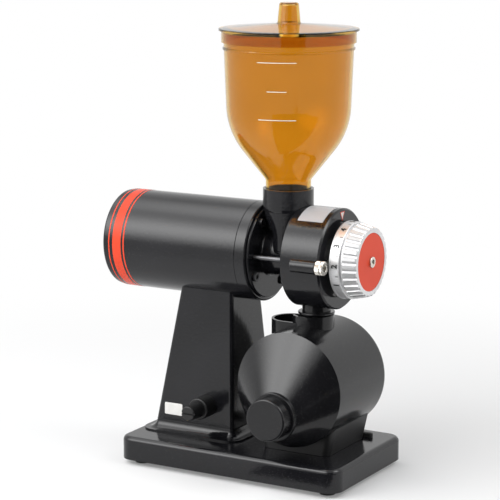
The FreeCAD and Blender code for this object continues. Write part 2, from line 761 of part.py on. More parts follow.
def fuse_cap():
    front = SLEEVE_Y - MOVE_GAP - FUSE_CAP_LENGTH
    back = SLEEVE_Y - MOVE_GAP
    cap = lathe_y([(front, 0), (front, FUSE_CAP_RADIUS - FUSE_CAP_TAPER, EDGE_SOFT),
                   (back, FUSE_CAP_RADIUS), (back, FUSE_SOCKET_RADIUS - RUN_FIT),
                   (SOCKET_Y - MOVE_GAP, FUSE_SOCKET_RADIUS - RUN_FIT),
                   (SOCKET_Y - MOVE_GAP, 0)], FUSE_X, FUSE_Z)
    slot = block(FUSE_X - FUSE_CAP_RADIUS, FUSE_X + FUSE_CAP_RADIUS, front, front + FUSE_CAP_SLOT,
                 FUSE_Z - FUSE_CAP_SLOT / 2, FUSE_Z + FUSE_CAP_SLOT / 2)
    return cap.cut(slot)


def fuse_cartridge():
    start = SOCKET_Y - MOVE_GAP
    return rod_y(start, start + FUSE_LENGTH, FUSE_RADIUS, FUSE_X, FUSE_Z)


def on_far_face(shape):
    """Move a piece made about the origin, facing +Y, onto the leaning far face of the pillar."""
    z = TOP_Z + SWITCH_HEIGHT
    placed = shape.copy()
    placed.rotate(Vec(0, 0, 0), X_AXIS, math.degrees(math.atan(PILLAR_SIDE_LEAN)))
    placed.translate(Vec(PILLAR_X - SWITCH_FROM_FRONT, pillar_far_y(z), z))
    return placed


def upright_plate(width, height, y0, y1, rounding):
    """Plate facing Y with rounded corners, about the origin."""
    places = ((-1, -1), (1, -1), (1, 1), (-1, 1))
    corners = [(Vec(sx * width / 2, y0, sz * height / 2), rounding) for sx, sz in places]
    return Part.Face(outline(corners)).extrude(Vec(0, y1 - y0, 0))


def rocker_pin(half_length, radius):
    return Part.makeCylinder(radius, 2 * half_length, Vec(-half_length, -ROCKER_DEPTH / 2, 0), X_AXIS)


def switch_frame():
    bezel = upright_plate(SWITCH_BEZEL_WIDTH, SWITCH_BEZEL_HEIGHT, 0, SWITCH_BEZEL, SWITCH_CORNER)
    body = upright_plate(SWITCH_BODY_WIDTH, SWITCH_BODY_HEIGHT, -SWITCH_BODY_DEPTH, 0, 0)
    opening = upright_plate(ROCKER_WIDTH + 2 * ROCKER_SIDE_GAP, ROCKER_LENGTH + 2 * ROCKER_END_GAP,
                            -2 * ROCKER_DEPTH, SWITCH_BEZEL, 0)
    pin_hole = rocker_pin(ROCKER_WIDTH / 2 + 2 * ROCKER_SIDE_GAP, ROCKER_PIN_RADIUS + RUN_FIT)
    return on_far_face(cut(fuse(bezel, body), opening, pin_hole))


def switch_rocker():
    half = ROCKER_LENGTH / 2
    crest = SWITCH_BEZEL + ROCKER_RISE
    places = ((-half, -ROCKER_DEPTH / 2), (-half, crest), (0, crest - ROCKER_DISH), (half, crest),
              (half, -ROCKER_DEPTH / 2), (0, -ROCKER_DEPTH))
    roundings = (0, EDGE_FINE, ROCKER_DISH_ROUND, EDGE_FINE, 0, ROCKER_HEEL_ROUND)
    corners = [(Vec(-ROCKER_WIDTH / 2, y, z), rounding) for (z, y), rounding in zip(places, roundings)]
    rocker = Part.Face(outline(corners)).extrude(Vec(ROCKER_WIDTH, 0, 0))
    rocker = fuse(rocker, rocker_pin(ROCKER_WIDTH / 2 + ROCKER_SIDE_GAP + RUN_FIT, ROCKER_PIN_RADIUS))
    rocker.rotate(Vec(0, -ROCKER_DEPTH / 2, 0), X_AXIS, -ROCKER_TILT)
    return on_far_face(rocker)


def capacitor_place():
    return PILLAR_X - CAPACITOR_FROM_FRONT, CAPACITOR_Y


def run_capacitor():
    x, y = capacitor_place()
    top = TOP_Z + CAPACITOR_LENGTH
    can = lathe_z([(TOP_Z, 0), (TOP_Z, CAPACITOR_RADIUS, EDGE_SOFT), (top, CAPACITOR_RADIUS, EDGE_SOFT),
                   (top, 0)], x, y)
    return fuse(can, rod_z(ROOF_Z, TOP_Z, CAPACITOR_STUD_RADIUS, x, y))


def terminal_block():
    x1 = PILLAR_X - TERMINAL_FROM_FRONT
    y0 = -PILLAR_NEAR + PILLAR_WALL
    z0 = TOP_Z + TERMINAL_RISE
    body = block(x1 - TERMINAL_LENGTH, x1, y0, y0 + TERMINAL_DEPTH, z0, z0 + TERMINAL_HEIGHT)
    pitch = TERMINAL_LENGTH / TERMINAL_WAYS
    holes = []
    for index in range(TERMINAL_WAYS):
        x = x1 - pitch * (index + 0.5)
        middle_y = y0 + TERMINAL_DEPTH / 2
        holes.append(rod_z(z0, z0 + TERMINAL_HEIGHT, TERMINAL_WIRE_RADIUS, x, middle_y))
        holes.append(rod_y(middle_y, y0 + TERMINAL_DEPTH, TERMINAL_SCREW_RADIUS, x, z0 + TERMINAL_HEIGHT / 2))
    return cut(body, *holes)


# Motor

def band_stations():
    for start, width in zip(BAND_STARTS, BAND_WIDTHS):
        yield TUBE_X + start, TUBE_X + start + width


def motor_tube():
    tube = ring_x(TUBE_X, SEAM_X, MOTOR_RADIUS, MOTOR_RADIUS - MOTOR_WALL)
    groove = MOTOR_RADIUS - BAND_DEPTH
    tools = [ring_x(x0, x1, MOTOR_RADIUS + MOTOR_WALL, groove) for x0, x1 in band_stations()]
    for x in saddle_screw_places():
        tools.append(rod_z(SADDLE_Z - MOTOR_WALL, SADDLE_Z + 2 * MOTOR_WALL, SCREW_RADIUS + THREAD_GAP, x, 0))
    return cut(tube, *tools)


def trim_bands():
    outer = MOTOR_RADIUS + BAND_PROUD
    return Part.makeCompound([ring_x(x0, x1, outer, MOTOR_RADIUS - BAND_DEPTH) for x0, x1 in band_stations()])


def bolt_places():
    return [on_circle(BOLT_CIRCLE, angle) for angle in spread(BOLT_COUNT, BOLT_ANGLE)]


def spigot_radius():
    return MOTOR_RADIUS - MOTOR_WALL - RUN_FIT


def rear_cover():
    rim = MOTOR_RADIUS - REAR_COVER_STEP
    inner = spigot_radius() - SPIGOT_WALL
    boss = REAR_BEARING_RADIUS + REAR_COVER_WALL
    boss_end = REAR_BEARING_X + BEARING_WIDTH
    pocket = REAR_BEARING_X - REAR_COVER_WALL / 2
    seat = REAR_BEARING_RADIUS + SEAT_GAP
    shoulder = REAR_BEARING_RADIUS - BEARING_LIP
    body = lathe_x([(REAR_X, 0), (REAR_X, rim, REAR_COVER_ROUND), (TUBE_X, rim), (TUBE_X, spigot_radius()),
                    (TUBE_X + SPIGOT_LENGTH, spigot_radius()), (TUBE_X + SPIGOT_LENGTH, inner),
                    (REAR_BEARING_X, inner), (REAR_BEARING_X, boss), (boss_end, boss),
                    (boss_end, seat), (REAR_BEARING_X, seat), (REAR_BEARING_X, shoulder), (pocket, shoulder),
                    (pocket, 0)])
    tools = []
    for angle in spread(REAR_VENTS):
        vent = block(REAR_X, REAR_BEARING_X, -REAR_VENT_WIDTH / 2, REAR_VENT_WIDTH / 2,
                     AXIS_Z + REAR_VENT_INNER, AXIS_Z + REAR_VENT_OUTER)
        tools.append(about_axis(vent, angle))
    for y, z in bolt_places():
        tools.append(rod_x(TUBE_X, TUBE_X + SPIGOT_LENGTH, SCREW_RADIUS + THREAD_GAP, y, z))
    return cut(body, *tools)


def front_bracket():
    seat = FRONT_BEARING_RADIUS + SEAT_GAP
    hole = FRONT_BEARING_RADIUS - BEARING_LIP
    spigot_x = SEAM_X - SPIGOT_LENGTH
    bearing_end = BRACKET_X - BRACKET_LIP
    inner = spigot_radius() - SPIGOT_WALL
    body = lathe_x([(SEAM_X, seat), (bearing_end, seat), (bearing_end, hole), (BRACKET_X, hole),
                    (BRACKET_X, MOTOR_RADIUS, BRACKET_ROUND), (SEAM_X, MOTOR_RADIUS, EDGE_FINE),
                    (SEAM_X, spigot_radius()), (spigot_x, spigot_radius()), (spigot_x, inner),
                    (SEAM_X, inner)])
    tools = []
    for y, z in bolt_places():
        tools.append(rod_x(spigot_x, BRACKET_X, SCREW_RADIUS + SEAT_GAP, y, z))
        tools.append(rod_x(BRACKET_X - BOLT_HEAD, BRACKET_X, SCREW_HEAD_RADIUS + SEAT_GAP, y, z))
    for y, z in flange_screw_places():
        tools.append(rod_x(BRACKET_X - SCREW_REACH, BRACKET_X, SCREW_RADIUS + THREAD_GAP, y, z))
    for y in stud_places():
        tools.append(rod_x(BRACKET_X - SCREW_REACH, BRACKET_X, STUD_RADIUS + THREAD_GAP, y))
    return cut(body, *tools)


def through_bolts():
    bolts = []
    for y, z in bolt_places():
        head = rod_x(BRACKET_X - BOLT_HEAD, BRACKET_X - SEAT_GAP, SCREW_HEAD_RADIUS, y, z)
        bolts.append(fuse(head, rod_x(TUBE_X + SEAT_GAP, BRACKET_X - BOLT_HEAD, SCREW_RADIUS, y, z)))
    return Part.makeCompound(bolts)


def stator_slots(width, depth):
    """Radial bars from the bore outwards, one for each slot."""
    inner = STATOR_BORE - WINDING_GAP
    bar = block(STATOR_X0, STATOR_X1, -width / 2, width / 2, AXIS_Z + inner, AXIS_Z + inner + depth)
    return [about_axis(bar, angle) for angle in spread(STATOR_SLOTS, 180 / STATOR_SLOTS)]


def stator_core():
    core = ring_x(STATOR_X0, STATOR_X1, MOTOR_RADIUS - MOTOR_WALL - SEAT_GAP, STATOR_BORE)
    tools = stator_slots(STATOR_SLOT_WIDTH, STATOR_SLOT_DEPTH)
    for y, z in bolt_places():
        tools.append(rod_x(STATOR_X0, STATOR_X1, SCREW_RADIUS + MOVE_GAP, y, z))
    return cut(core, *tools)


def stator_windings():
    inner = STATOR_BORE + WINDING_GAP
    outer = STATOR_BORE + STATOR_SLOT_DEPTH - 2 * WINDING_GAP
    ends = [ring_x(STATOR_X0 - WINDING_OVERHANG, STATOR_X0, outer, inner),
            ring_x(STATOR_X1, STATOR_X1 + WINDING_OVERHANG, outer, inner)]
    bars = stator_slots(STATOR_SLOT_WIDTH - WINDING_GAP, STATOR_SLOT_DEPTH - WINDING_GAP)
    body = fuse(ends[0], ends[1], *bars)
    return body.cut(rod_x(STATOR_X0, STATOR_X1, inner))


def bearing(x0, outer, bore):
    return ring_x(x0, x0 + BEARING_WIDTH, outer, bore + RUN_FIT)


def rear_bearing():
    return bearing(REAR_BEARING_X, REAR_BEARING_RADIUS, REAR_JOURNAL_RADIUS)


def front_bearing():
    return bearing(FRONT_BEARING_X, FRONT_BEARING_RADIUS, SHAFT_RADIUS)


# Spindle: everything that the motor turns

def shaft_flat(x0, x1, radius, flat):
    """Round bar with one flat, so that what slides on it has to turn with it."""
    return rod_x(x0, x1, radius).common(block(x0, x1, -radius, radius, AXIS_Z - radius, AXIS_Z + flat))


def motor_shaft():
    rotor_end = STATOR_X1 + ROTOR_OVERHANG
    fan_end = FAN_X + FAN_LENGTH
    auger_end = FIXED_BURR_X
    return fuse(rod_x(REAR_BEARING_X, FAN_X, REAR_JOURNAL_RADIUS),
                rod_x(FAN_X, fan_end, SHAFT_RADIUS),
                rod_x(fan_end, rotor_end, ROTOR_SHAFT_RADIUS),
                rod_x(rotor_end, auger_end, SHAFT_RADIUS),
                shaft_flat(auger_end, SHAFT_END_X, SHAFT_END_RADIUS, SHAFT_END_FLAT))


def rotor():
    x0 = STATOR_X0 - ROTOR_OVERHANG
    x1 = STATOR_X1 + ROTOR_OVERHANG
    return ring_x(x0, x1, STATOR_BORE - AIR_GAP, ROTOR_SHAFT_RADIUS)


def cooling_fan():
    hub = ring_x(FAN_X, FAN_X + FAN_LENGTH, FAN_HUB_RADIUS, SHAFT_RADIUS)
    middle = FAN_X + FAN_LENGTH / 2
    root = AXIS_Z + FAN_HUB_RADIUS - FAN_BLADE
    blade = block(middle - FAN_LENGTH / 2, middle + FAN_LENGTH / 2, -FAN_BLADE / 2, FAN_BLADE / 2,
                  root, AXIS_Z + FAN_RADIUS)
    blade.rotate(Vec(middle, 0, AXIS_Z), Z_AXIS, FAN_PITCH)
    return fuse(hub, *[about_axis(blade, angle) for angle in spread(FAN_BLADES)])


def auger():
    x0 = FLANGE_X + AUGER_END_GAP
    x1 = FIXED_BURR_X - AUGER_END_GAP
    core = rod_x(x0, x1, AUGER_CORE)
    steps = round(AUGER_TURNS * AUGER_STEPS)
    travel = x1 - x0 - AUGER_FLIGHT
    inner = (AUGER_CORE + SHAFT_RADIUS) / 2
    sections = []
    for index in range(steps + 1):
        x = x0 + travel * index / steps
        low = on_circle(inner, 360 * AUGER_TURNS * index / steps)
        high = on_circle(AUGER_RADIUS, 360 * AUGER_TURNS * index / steps)
        corners = [Vec(x, *low), Vec(x, *high), Vec(x + AUGER_FLIGHT, *high), Vec(x + AUGER_FLIGHT, *low)]
        sections.append(Part.makePolygon(corners + corners[:1]))
    flight = Part.makeLoft(sections, True, True)
    return fuse(core, flight).cut(rod_x(x0, x1, SHAFT_RADIUS))


# Feed housing, burr chamber and front cover

def flange_screw_places():
    return [on_circle(FLANGE_SCREW_CIRCLE, angle) for angle in spread(FLANGE_SCREW_COUNT, FLANGE_SCREW_ANGLE)]


def stud_places():
    return (-STUD_CIRCLE, STUD_CIRCLE)


def throat_outer(grow):
    taper_z = THROAT_Z - THROAT_STRAIGHT
    neck_z = taper_z - THROAT_TAPER
    return lathe_z([(AXIS_Z, 0), (AXIS_Z, THROAT_NECK + grow),
                    (neck_z, THROAT_NECK + grow, THROAT_SHOULDER_ROUND),
                    (taper_z, THROAT_RADIUS + grow, THROAT_SHOULDER_ROUND),
                    (THROAT_Z, THROAT_RADIUS + grow), (THROAT_Z, 0)], THROAT_X, 0)


def throat_inner():
    bore = THROAT_RADIUS - THROAT_WALL
    neck = THROAT_NECK - THROAT_NECK_WALL
    funnel = THROAT_Z - THROAT_STRAIGHT - THROAT_TAPER
    return lathe_z([(AXIS_Z, 0), (AXIS_Z, neck), (funnel, neck), (HOPPER_Z, bore - THROAT_LEDGE),
                    (HOPPER_Z, bore), (THROAT_Z, bore), (THROAT_Z, 0)], THROAT_X, 0)


def barrel_spigot():
    return BARREL_BORE + (BARREL_RADIUS - BARREL_BORE) / 2


def feed_housing():
    body = lathe_x([(BRACKET_X, 0), (BRACKET_X, FLANGE_RADIUS), (FLANGE_X, FLANGE_RADIUS, EDGE_SOFT),
                    (FLANGE_X, BARREL_RADIUS, BARREL_ROOT), (DRUM_X, BARREL_RADIUS),
                    (DRUM_X, barrel_spigot()), (CHAMBER_X, barrel_spigot()), (CHAMBER_X, 0)])
    body = fuse(body, throat_outer(0))
    tools = [rod_x(SEAM_X, BRACKET_X, MOTOR_RADIUS + SEAT_GAP), throat_inner(),
             rod_x(FLANGE_X, CHAMBER_X, BARREL_BORE), rod_x(BRACKET_X, FLANGE_X, SEAL_RADIUS)]
    for y, z in flange_screw_places():
        tools.append(rod_x(BRACKET_X, FLANGE_X, SCREW_RADIUS + SEAT_GAP, y, z))
    for y in stud_places():
        tools.append(rod_x(BRACKET_X, FLANGE_X, STUD_RADIUS + SEAT_GAP, y))
    return cut(body, *tools)


def shaft_seal():
    return ring_x(BRACKET_X, FLANGE_X, SEAL_RADIUS - RUN_FIT, SHAFT_RADIUS + RUN_FIT)


def flange_screws():
    screws = []
    for y, z in flange_screw_places():
        head = rod_x(FLANGE_X, FLANGE_X + SCREW_HEAD, SCREW_HEAD_RADIUS, y, z)
        socket = hexagon(Vec(FLANGE_X + SCREW_HEAD / 2, y, z), X_AXIS, SCREW_HEAD, SCREW_RADIUS)
        shank = rod_x(BRACKET_X - SCREW_REACH, FLANGE_X, SCREW_RADIUS, y, z)
        screws.append(fuse(head.cut(socket), shank))
    return Part.makeCompound(screws)


def tie_studs():
    studs = [rod_x(BRACKET_X - SCREW_REACH, CHAMBER_X, STUD_RADIUS, y) for y in stud_places()]
    return Part.makeCompound(studs)


def tie_nuts():
    nuts = []
    for y in stud_places():
        nut = hexagon(Vec(DRUM_X - STUD_NUT, y, AXIS_Z), X_AXIS, STUD_NUT, STUD_NUT_RADIUS)
        nuts.append(nut.cut(rod_x(DRUM_X - STUD_NUT, DRUM_X, STUD_RADIUS + THREAD_GAP, y)))
    return Part.makeCompound(nuts)


def ear_places():
    return (-EAR_OFFSET, EAR_OFFSET)


def burr_chamber():
    hole = barrel_spigot() + SEAT_GAP
    inner = DRUM_RADIUS - DRUM_WALL
    body = lathe_x([(DRUM_X, hole), (DRUM_X, DRUM_RADIUS, EDGE_SOFT), (DRUM_END_X, DRUM_RADIUS),
                    (DRUM_END_X, inner), (CHAMBER_X, inner), (CHAMBER_X, hole)])
    inside = rod_x(CHAMBER_X, DRUM_END_X, inner)
    ears = [rod_x(DRUM_END_X - EAR_LENGTH, DRUM_END_X, EAR_RADIUS, y).cut(inside) for y in ear_places()]
    body = fuse(body, *ears)
    tools = [rod_z(CHUTE_Z, chute_top(), CHUTE_RADIUS + RUN_FIT, CHUTE_X, 0), throat_outer(SEAT_GAP)]
    for y in ear_places():
        tools.append(rod_x(DRUM_END_X - THUMB_SHANK, DRUM_END_X, SCREW_RADIUS + THREAD_GAP, y))
    for y in stud_places():
        tools.append(rod_x(DRUM_X, CHAMBER_X, STUD_RADIUS + THREAD_GAP, y))
    for y, z in burr_screw_places():
        tools.append(rod_x(CHAMBER_X - BURR_SCREW_REACH, CHAMBER_X, BURR_SCREW_RADIUS + THREAD_GAP, y, z))
    return cut(body, *tools)


def front_cover():
    spigot = DRUM_RADIUS - DRUM_WALL - SEAT_GAP
    inner = spigot - COVER_SPIGOT_WALL
    bore = DIAL_HUB_RADIUS + RUN_FIT
    body = lathe_x([(DRUM_END_X, spigot), (DRUM_END_X, DRUM_RADIUS), (COVER_X - COVER_CHAMFER, DRUM_RADIUS),
                    (COVER_X, DRUM_RADIUS - COVER_CHAMFER), (COVER_X, COVER_RECESS_RADIUS),
                    (RECESS_X, COVER_RECESS_RADIUS, EDGE_SOFT), (RECESS_X, bore), (PLATE_X, bore),
                    (PLATE_X, inner), (DRUM_END_X - COVER_SPIGOT, inner),
                    (DRUM_END_X - COVER_SPIGOT, spigot)])
    ears = [rod_x(DRUM_END_X, DRUM_END_X + EAR_COVER, EAR_RADIUS, y) for y in ear_places()]
    ears = [ear.cut(rod_x(DRUM_END_X, COVER_X, DRUM_RADIUS - COVER_CHAMFER)) for ear in ears]
    body = fuse(body, *ears)
    tools = []
    for y in ear_places():
        tools.append(rod_x(DRUM_END_X, COVER_X, SCREW_RADIUS + SEAT_GAP, y))
        tools.append(rod_x(DRUM_END_X + EAR_COVER, COVER_X, THUMB_RADIUS + MOVE_GAP, y))
    for y, z in guide_pin_places():
        tools.append(rod_x(PLATE_X, RECESS_X, GUIDE_PIN_RADIUS, y, z))
    return cut(body, *tools)


def thumb_screws():
    x0 = DRUM_END_X + EAR_COVER
    x1 = x0 + THUMB_LENGTH
    screws = []
    for y in ear_places():
        knob = lathe_x([(x0, 0), (x0, THUMB_RADIUS - THUMB_CHAMFER), (x0 + THUMB_CHAMFER, THUMB_RADIUS),
                        (x1 - THUMB_CHAMFER, THUMB_RADIUS), (x1, THUMB_RADIUS - THUMB_CHAMFER), (x1, 0)], y)
        floor = Vec(x1 - THUMB_SOCKET_DEPTH, y, AXIS_Z)
        socket = hexagon(floor, X_AXIS, THUMB_SOCKET_DEPTH, THUMB_SOCKET_RADIUS)
        shank = rod_x(DRUM_END_X - THUMB_SHANK, x0, SCREW_RADIUS, y)
        screws.append(fuse(knob.cut(socket), shank))
    return Part.makeCompound(screws)


# Burrs and their holder

def burr_screw_places():
    return [on_circle(BURR_SCREW_CIRCLE, angle) for angle in spread(BURR_SCREWS, 180 / BURR_SCREWS)]


def burr_teeth(face_x, depth):
    """Skewed grooves across the flat ring of a burr, cut to a depth along X."""
    x0, x1 = sorted((face_x, face_x + depth))
    groove = block(x0, x1, -BURR_TOOTH_WIDTH / 2, BURR_TOOTH_WIDTH / 2,
                   AXIS_Z - BURR_RADIUS, AXIS_Z + BURR_RADIUS)
    groove = groove.common(block(x0, x1, -BURR_RADIUS, BURR_RADIUS, AXIS_Z, AXIS_Z + BURR_RADIUS))
    middle = AXIS_Z + (BURR_FLAT + BURR_RADIUS) / 2
    groove.rotate(Vec(0, 0, middle), X_AXIS, BURR_TOOTH_SKEW)
    half_step = 180 / BURR_TEETH
    return [about_axis(groove, angle) for angle in spread(BURR_TEETH, half_step)]


def countersink(face_x, direction, y, z):
    """Screw hole with a conical head seat that opens on the burr's face."""
    sink = BURR_SCREW_HEAD - BURR_SCREW_RADIUS
    cone = Part.makeCone(BURR_SCREW_HEAD, BURR_SCREW_RADIUS, sink, Vec(face_x, y, z), X_AXIS * direction)
    reach = FIXED_BURR + BURR_SCREW_REACH
    return cone, Part.makeCylinder(BURR_SCREW_RADIUS, reach, Vec(face_x, y, z), X_AXIS * direction)


def burr_blank(face_x, back_x, bore):
    """Ring with a flat cutting rim and a dished middle."""
    dish = math.copysign(BURR_DISH, back_x - face_x)
    return lathe_x([(back_x, bore), (back_x, BURR_RADIUS), (face_x, BURR_RADIUS), (face_x, BURR_FLAT),
                    (face_x + dish, bore)])


def fixed_burr():
    tools = burr_teeth(FIXED_BURR_X, -BURR_TOOTH_DEPTH)
    for y, z in burr_screw_places():
        tools.extend(countersink(FIXED_BURR_X, -1, y, z))
    return cut(burr_blank(FIXED_BURR_X, CHAMBER_X, BARREL_BORE), *tools)


def rotating_burr():
    tools = burr_teeth(ROTATING_BURR_X, BURR_TOOTH_DEPTH)
    for y, z in burr_screw_places():
        tools.extend(countersink(ROTATING_BURR_X, 1, y, z))
    return cut(burr_blank(ROTATING_BURR_X, HOLDER_X, ROTATING_BURR_BORE), *tools)


def burr_screw(face_x, length, direction, y, z):
    cone, shank = countersink(face_x, direction, y, z)
    end = face_x + direction * length
    return fuse(cone, shank).common(rod_x(min(face_x, end), max(face_x, end), BURR_SCREW_HEAD, y, z))


def fixed_burr_screws():
    length = FIXED_BURR + BURR_SCREW_REACH
    return Part.makeCompound([burr_screw(FIXED_BURR_X, length, -1, y, z) for y, z in burr_screw_places()])


def rotating_burr_screws():
    length = ROTATING_BURR + BURR_SCREW_REACH
    return Part.makeCompound([burr_screw(ROTATING_BURR_X, length, 1, y, z) for y, z in burr_screw_places()])


def burr_holder():
    disc = rod_x(HOLDER_X, HOLDER_END_X, BURR_RADIUS)
    hub = rod_x(HOLDER_X - HOLDER_HUB, HOLDER_X, HOLDER_HUB_RADIUS)
    pad = rod_x(HOLDER_END_X, PAD_X, HOLDER_PAD_RADIUS)
    vane = block(HOLDER_X, HOLDER_END_X, -HOLDER_VANE / 2, HOLDER_VANE / 2,
                 AXIS_Z + BURR_RADIUS - HOLDER_VANE, AXIS_Z + BURR_RADIUS + HOLDER_VANE_REACH)
    vanes = [about_axis(vane, angle) for angle in spread(HOLDER_VANES, 180 / HOLDER_VANES)]
    body = fuse(disc, hub, pad, *vanes)
    tools = [shaft_flat(HOLDER_X - HOLDER_HUB, SHAFT_END_X + SHAFT_END_GAP, SHAFT_END_RADIUS + RUN_FIT,
                        SHAFT_END_FLAT + RUN_FIT)]
    for y, z in burr_screw_places():
        tools.append(rod_x(HOLDER_X, HOLDER_X + BURR_SCREW_REACH, BURR_SCREW_RADIUS + THREAD_GAP, y, z))
    return cut(body, *tools)


# Adjusting parts

def guide_pin_places():
    return [on_circle(GUIDE_PIN_CIRCLE, angle) for angle in spread(GUIDE_PINS, 180 / GUIDE_PINS)]


def thrust_plunger():
    disc_end = PLUNGER_DISC_X + PLUNGER_DISC
    end = disc_end + PLUNGER_LENGTH
    body = lathe_x([(PLUNGER_X, 0), (PLUNGER_X, PLUNGER_RADIUS), (PLUNGER_DISC_X, PLUNGER_RADIUS),
                    (PLUNGER_DISC_X, PLUNGER_DISC_RADIUS), (disc_end, PLUNGER_DISC_RADIUS),
                    (disc_end, PLUNGER_RADIUS), (end, PLUNGER_RADIUS), (end, 0)])
    pins = [rod_x(PLUNGER_DISC_X, disc_end, GUIDE_PIN_RADIUS + RUN_FIT, y, z) for y, z in guide_pin_places()]
    return cut(body, *pins)


def guide_pins():
    pins = [rod_x(PLUNGER_DISC_X, RECESS_X, GUIDE_PIN_RADIUS, y, z) for y, z in guide_pin_places()]
    return Part.makeCompound(pins)


def retainer_station():
    return PLATE_X - MOVE_GAP - RETAINER_THICK


def dial_grip():
    groove_x = retainer_station()
    tail_x = PLATE_X - DIAL_HUB_TAIL
    bore = PLUNGER_RADIUS + RUN_FIT
    bore_end = PLUNGER_DISC_X + PLUNGER_DISC + PLUNGER_LENGTH + DIAL_GROOVE
    deep = DIAL_HUB_RADIUS - RETAINER_GROOVE
    body = lathe_x([(tail_x, bore), (tail_x, DIAL_HUB_RADIUS), (groove_x, DIAL_HUB_RADIUS), (groove_x, deep),
                    (groove_x + RETAINER_THICK, deep), (groove_x + RETAINER_THICK, DIAL_HUB_RADIUS),
                    (RECESS_X + MOVE_GAP, DIAL_HUB_RADIUS), (RECESS_X + MOVE_GAP, DIAL_SHOULDER_RADIUS),
                    (DIAL_X, DIAL_SHOULDER_RADIUS), (DIAL_X, DIAL_CORE_RADIUS), (RING_X, DIAL_CORE_RADIUS),
                    (RING_X, DIAL_GROOVE_RADIUS), (GRIP_X, DIAL_GROOVE_RADIUS),
                    (GRIP_X, DIAL_GRIP_RADIUS, EDGE_FINE), (FACE_X, DIAL_FACE_RADIUS, EDGE_SOFT),
                    (FACE_X, DIAL_DISC_RADIUS + SEAT_GAP), (DISC_X, DIAL_DISC_RADIUS + SEAT_GAP), (DISC_X, 0),
                    (bore_end, 0), (bore_end, bore)])
    tools = [rod_x(DISC_X - DIAL_SCREW_REACH, DISC_X, DIAL_SCREW_RADIUS + THREAD_GAP)]
    start = Vec(RING_X, 0, AXIS_Z + DIAL_GRIP_RADIUS + DIAL_FLUTE_RADIUS - DIAL_FLUTE_DEPTH)
    slope = Vec(DIAL_GRIP, 0, DIAL_FACE_RADIUS - DIAL_GRIP_RADIUS)
    flute = Part.makeCylinder(DIAL_FLUTE_RADIUS, DIAL_GRIP + 2 * DIAL_GROOVE, start, slope)
    tools.extend(about_axis(flute, angle) for angle in spread(DIAL_FLUTES))
    return cut(body, *tools)


def number_ring():
    inner = DIAL_CORE_RADIUS + RUN_FIT
    lip_x = DIAL_X + DIAL_LIP
    return lathe_x([(DIAL_X, inner), (DIAL_X, DIAL_LIP_RADIUS, EDGE_FINE), (lip_x, DIAL_LIP_RADIUS),
                    (lip_x, DIAL_RING_RADIUS), (RING_X, DIAL_RING_RADIUS, EDGE_FINE), (RING_X, inner)])


def dial_disc():
    return ring_x(DISC_X, DISC_X + DIAL_DISC, DIAL_DISC_RADIUS, DIAL_SCREW_RADIUS + THREAD_GAP)


def dial_screw():
    seat = DISC_X + DIAL_DISC
    head = lathe_x([(seat, 0), (seat, DIAL_SCREW_HEAD_RADIUS),
                    (DIAL_END_X, DIAL_SCREW_HEAD_RADIUS, EDGE_FINE), (DIAL_END_X, 0)])
    socket = hexagon(Vec(seat + DIAL_SCREW_HEAD / 3, 0, AXIS_Z), X_AXIS, DIAL_SCREW_HEAD, DIAL_SCREW_RADIUS)
    return fuse(head.cut(socket), rod_x(DISC_X - DIAL_SCREW_REACH, seat, DIAL_SCREW_RADIUS))


def dial_retainer():
    x0 = retainer_station()
    clip = ring_x(x0, x0 + RETAINER_THICK, RETAINER_RADIUS, DIAL_HUB_RADIUS - RETAINER_GROOVE)
    half = RETAINER_SLOT / 2
    return clip.cut(block(x0, x0 + RETAINER_THICK, -half, half, AXIS_Z - RETAINER_RADIUS, AXIS_Z))


# Outlet chute and receiving cup

def chute_top():
    """Height where the chute's sides meet the chamber's round floor."""
    return AXIS_Z - math.sqrt((DRUM_RADIUS - DRUM_WALL) ** 2 - CHUTE_RADIUS ** 2)


def outlet_chute():
    top = chute_top()
    bore = CHUTE_RADIUS - CHUTE_WALL
    brim_z = CHUTE_Z + CHUTE_BRIM
    tube = lathe_z([(CHUTE_Z, bore), (CHUTE_Z, CHUTE_BRIM_RADIUS, EDGE_FINE),
                    (brim_z, CHUTE_BRIM_RADIUS, EDGE_FINE), (brim_z, CHUTE_RADIUS),
                    (top, CHUTE_RADIUS), (top, bore)], CHUTE_X, 0)
    return tube.cut(rod_x(CHAMBER_X, DRUM_END_X, DRUM_RADIUS - DRUM_WALL))


def collar(inset, z0, z1):
    """Long rounded well above the cup's drum."""
    half = CUP_COLLAR_HALF - inset
    return slab(CUP_X - CUP_COLLAR_TAIL + inset, CUP_X + half, -half, half, z0, z1, half - END_FLAT)


def cup_body():
    far = CUP_LENGTH / 2
    floor = far - CUP_WALL
    inner = CUP_RADIUS - CUP_WALL
    drum = lathe_y([(CUP_NEAR_Y, 0), (CUP_NEAR_Y, CUP_RADIUS), (far, CUP_RADIUS, CUP_END_ROUND),
                    (far, 0)], CUP_X, CUP_Z)
    hollow = lathe_y([(CUP_NEAR_Y, 0), (CUP_NEAR_Y, inner), (floor, inner, CUP_END_ROUND - CUP_WALL),
                      (floor, 0)], CUP_X, CUP_Z)
    guard = rod_z(CUP_Z, GUARD_Z, CUP_GUARD_RADIUS, CUP_X, 0)
    behind = block(CUP_X - 2 * CUP_RADIUS, CUP_X - CUP_GUARD_BACK, -CUP_RADIUS, CUP_RADIUS, CUP_Z, GUARD_Z)
    body = fuse(drum, collar(0, CUP_Z, COLLAR_Z), guard.cut(behind))
    mouth = rod_z(CUP_Z, GUARD_Z, CUP_GUARD_RADIUS - CUP_COLLAR_WALL, CUP_X, 0)
    return cut(body, hollow, collar(CUP_COLLAR_WALL, CUP_Z, COLLAR_Z), mouth.cut(behind))


def circle_y(y, z, radius):
    return Part.Wire(Part.makeCircle(radius, Vec(CUP_X, y, z), Y_AXIS))


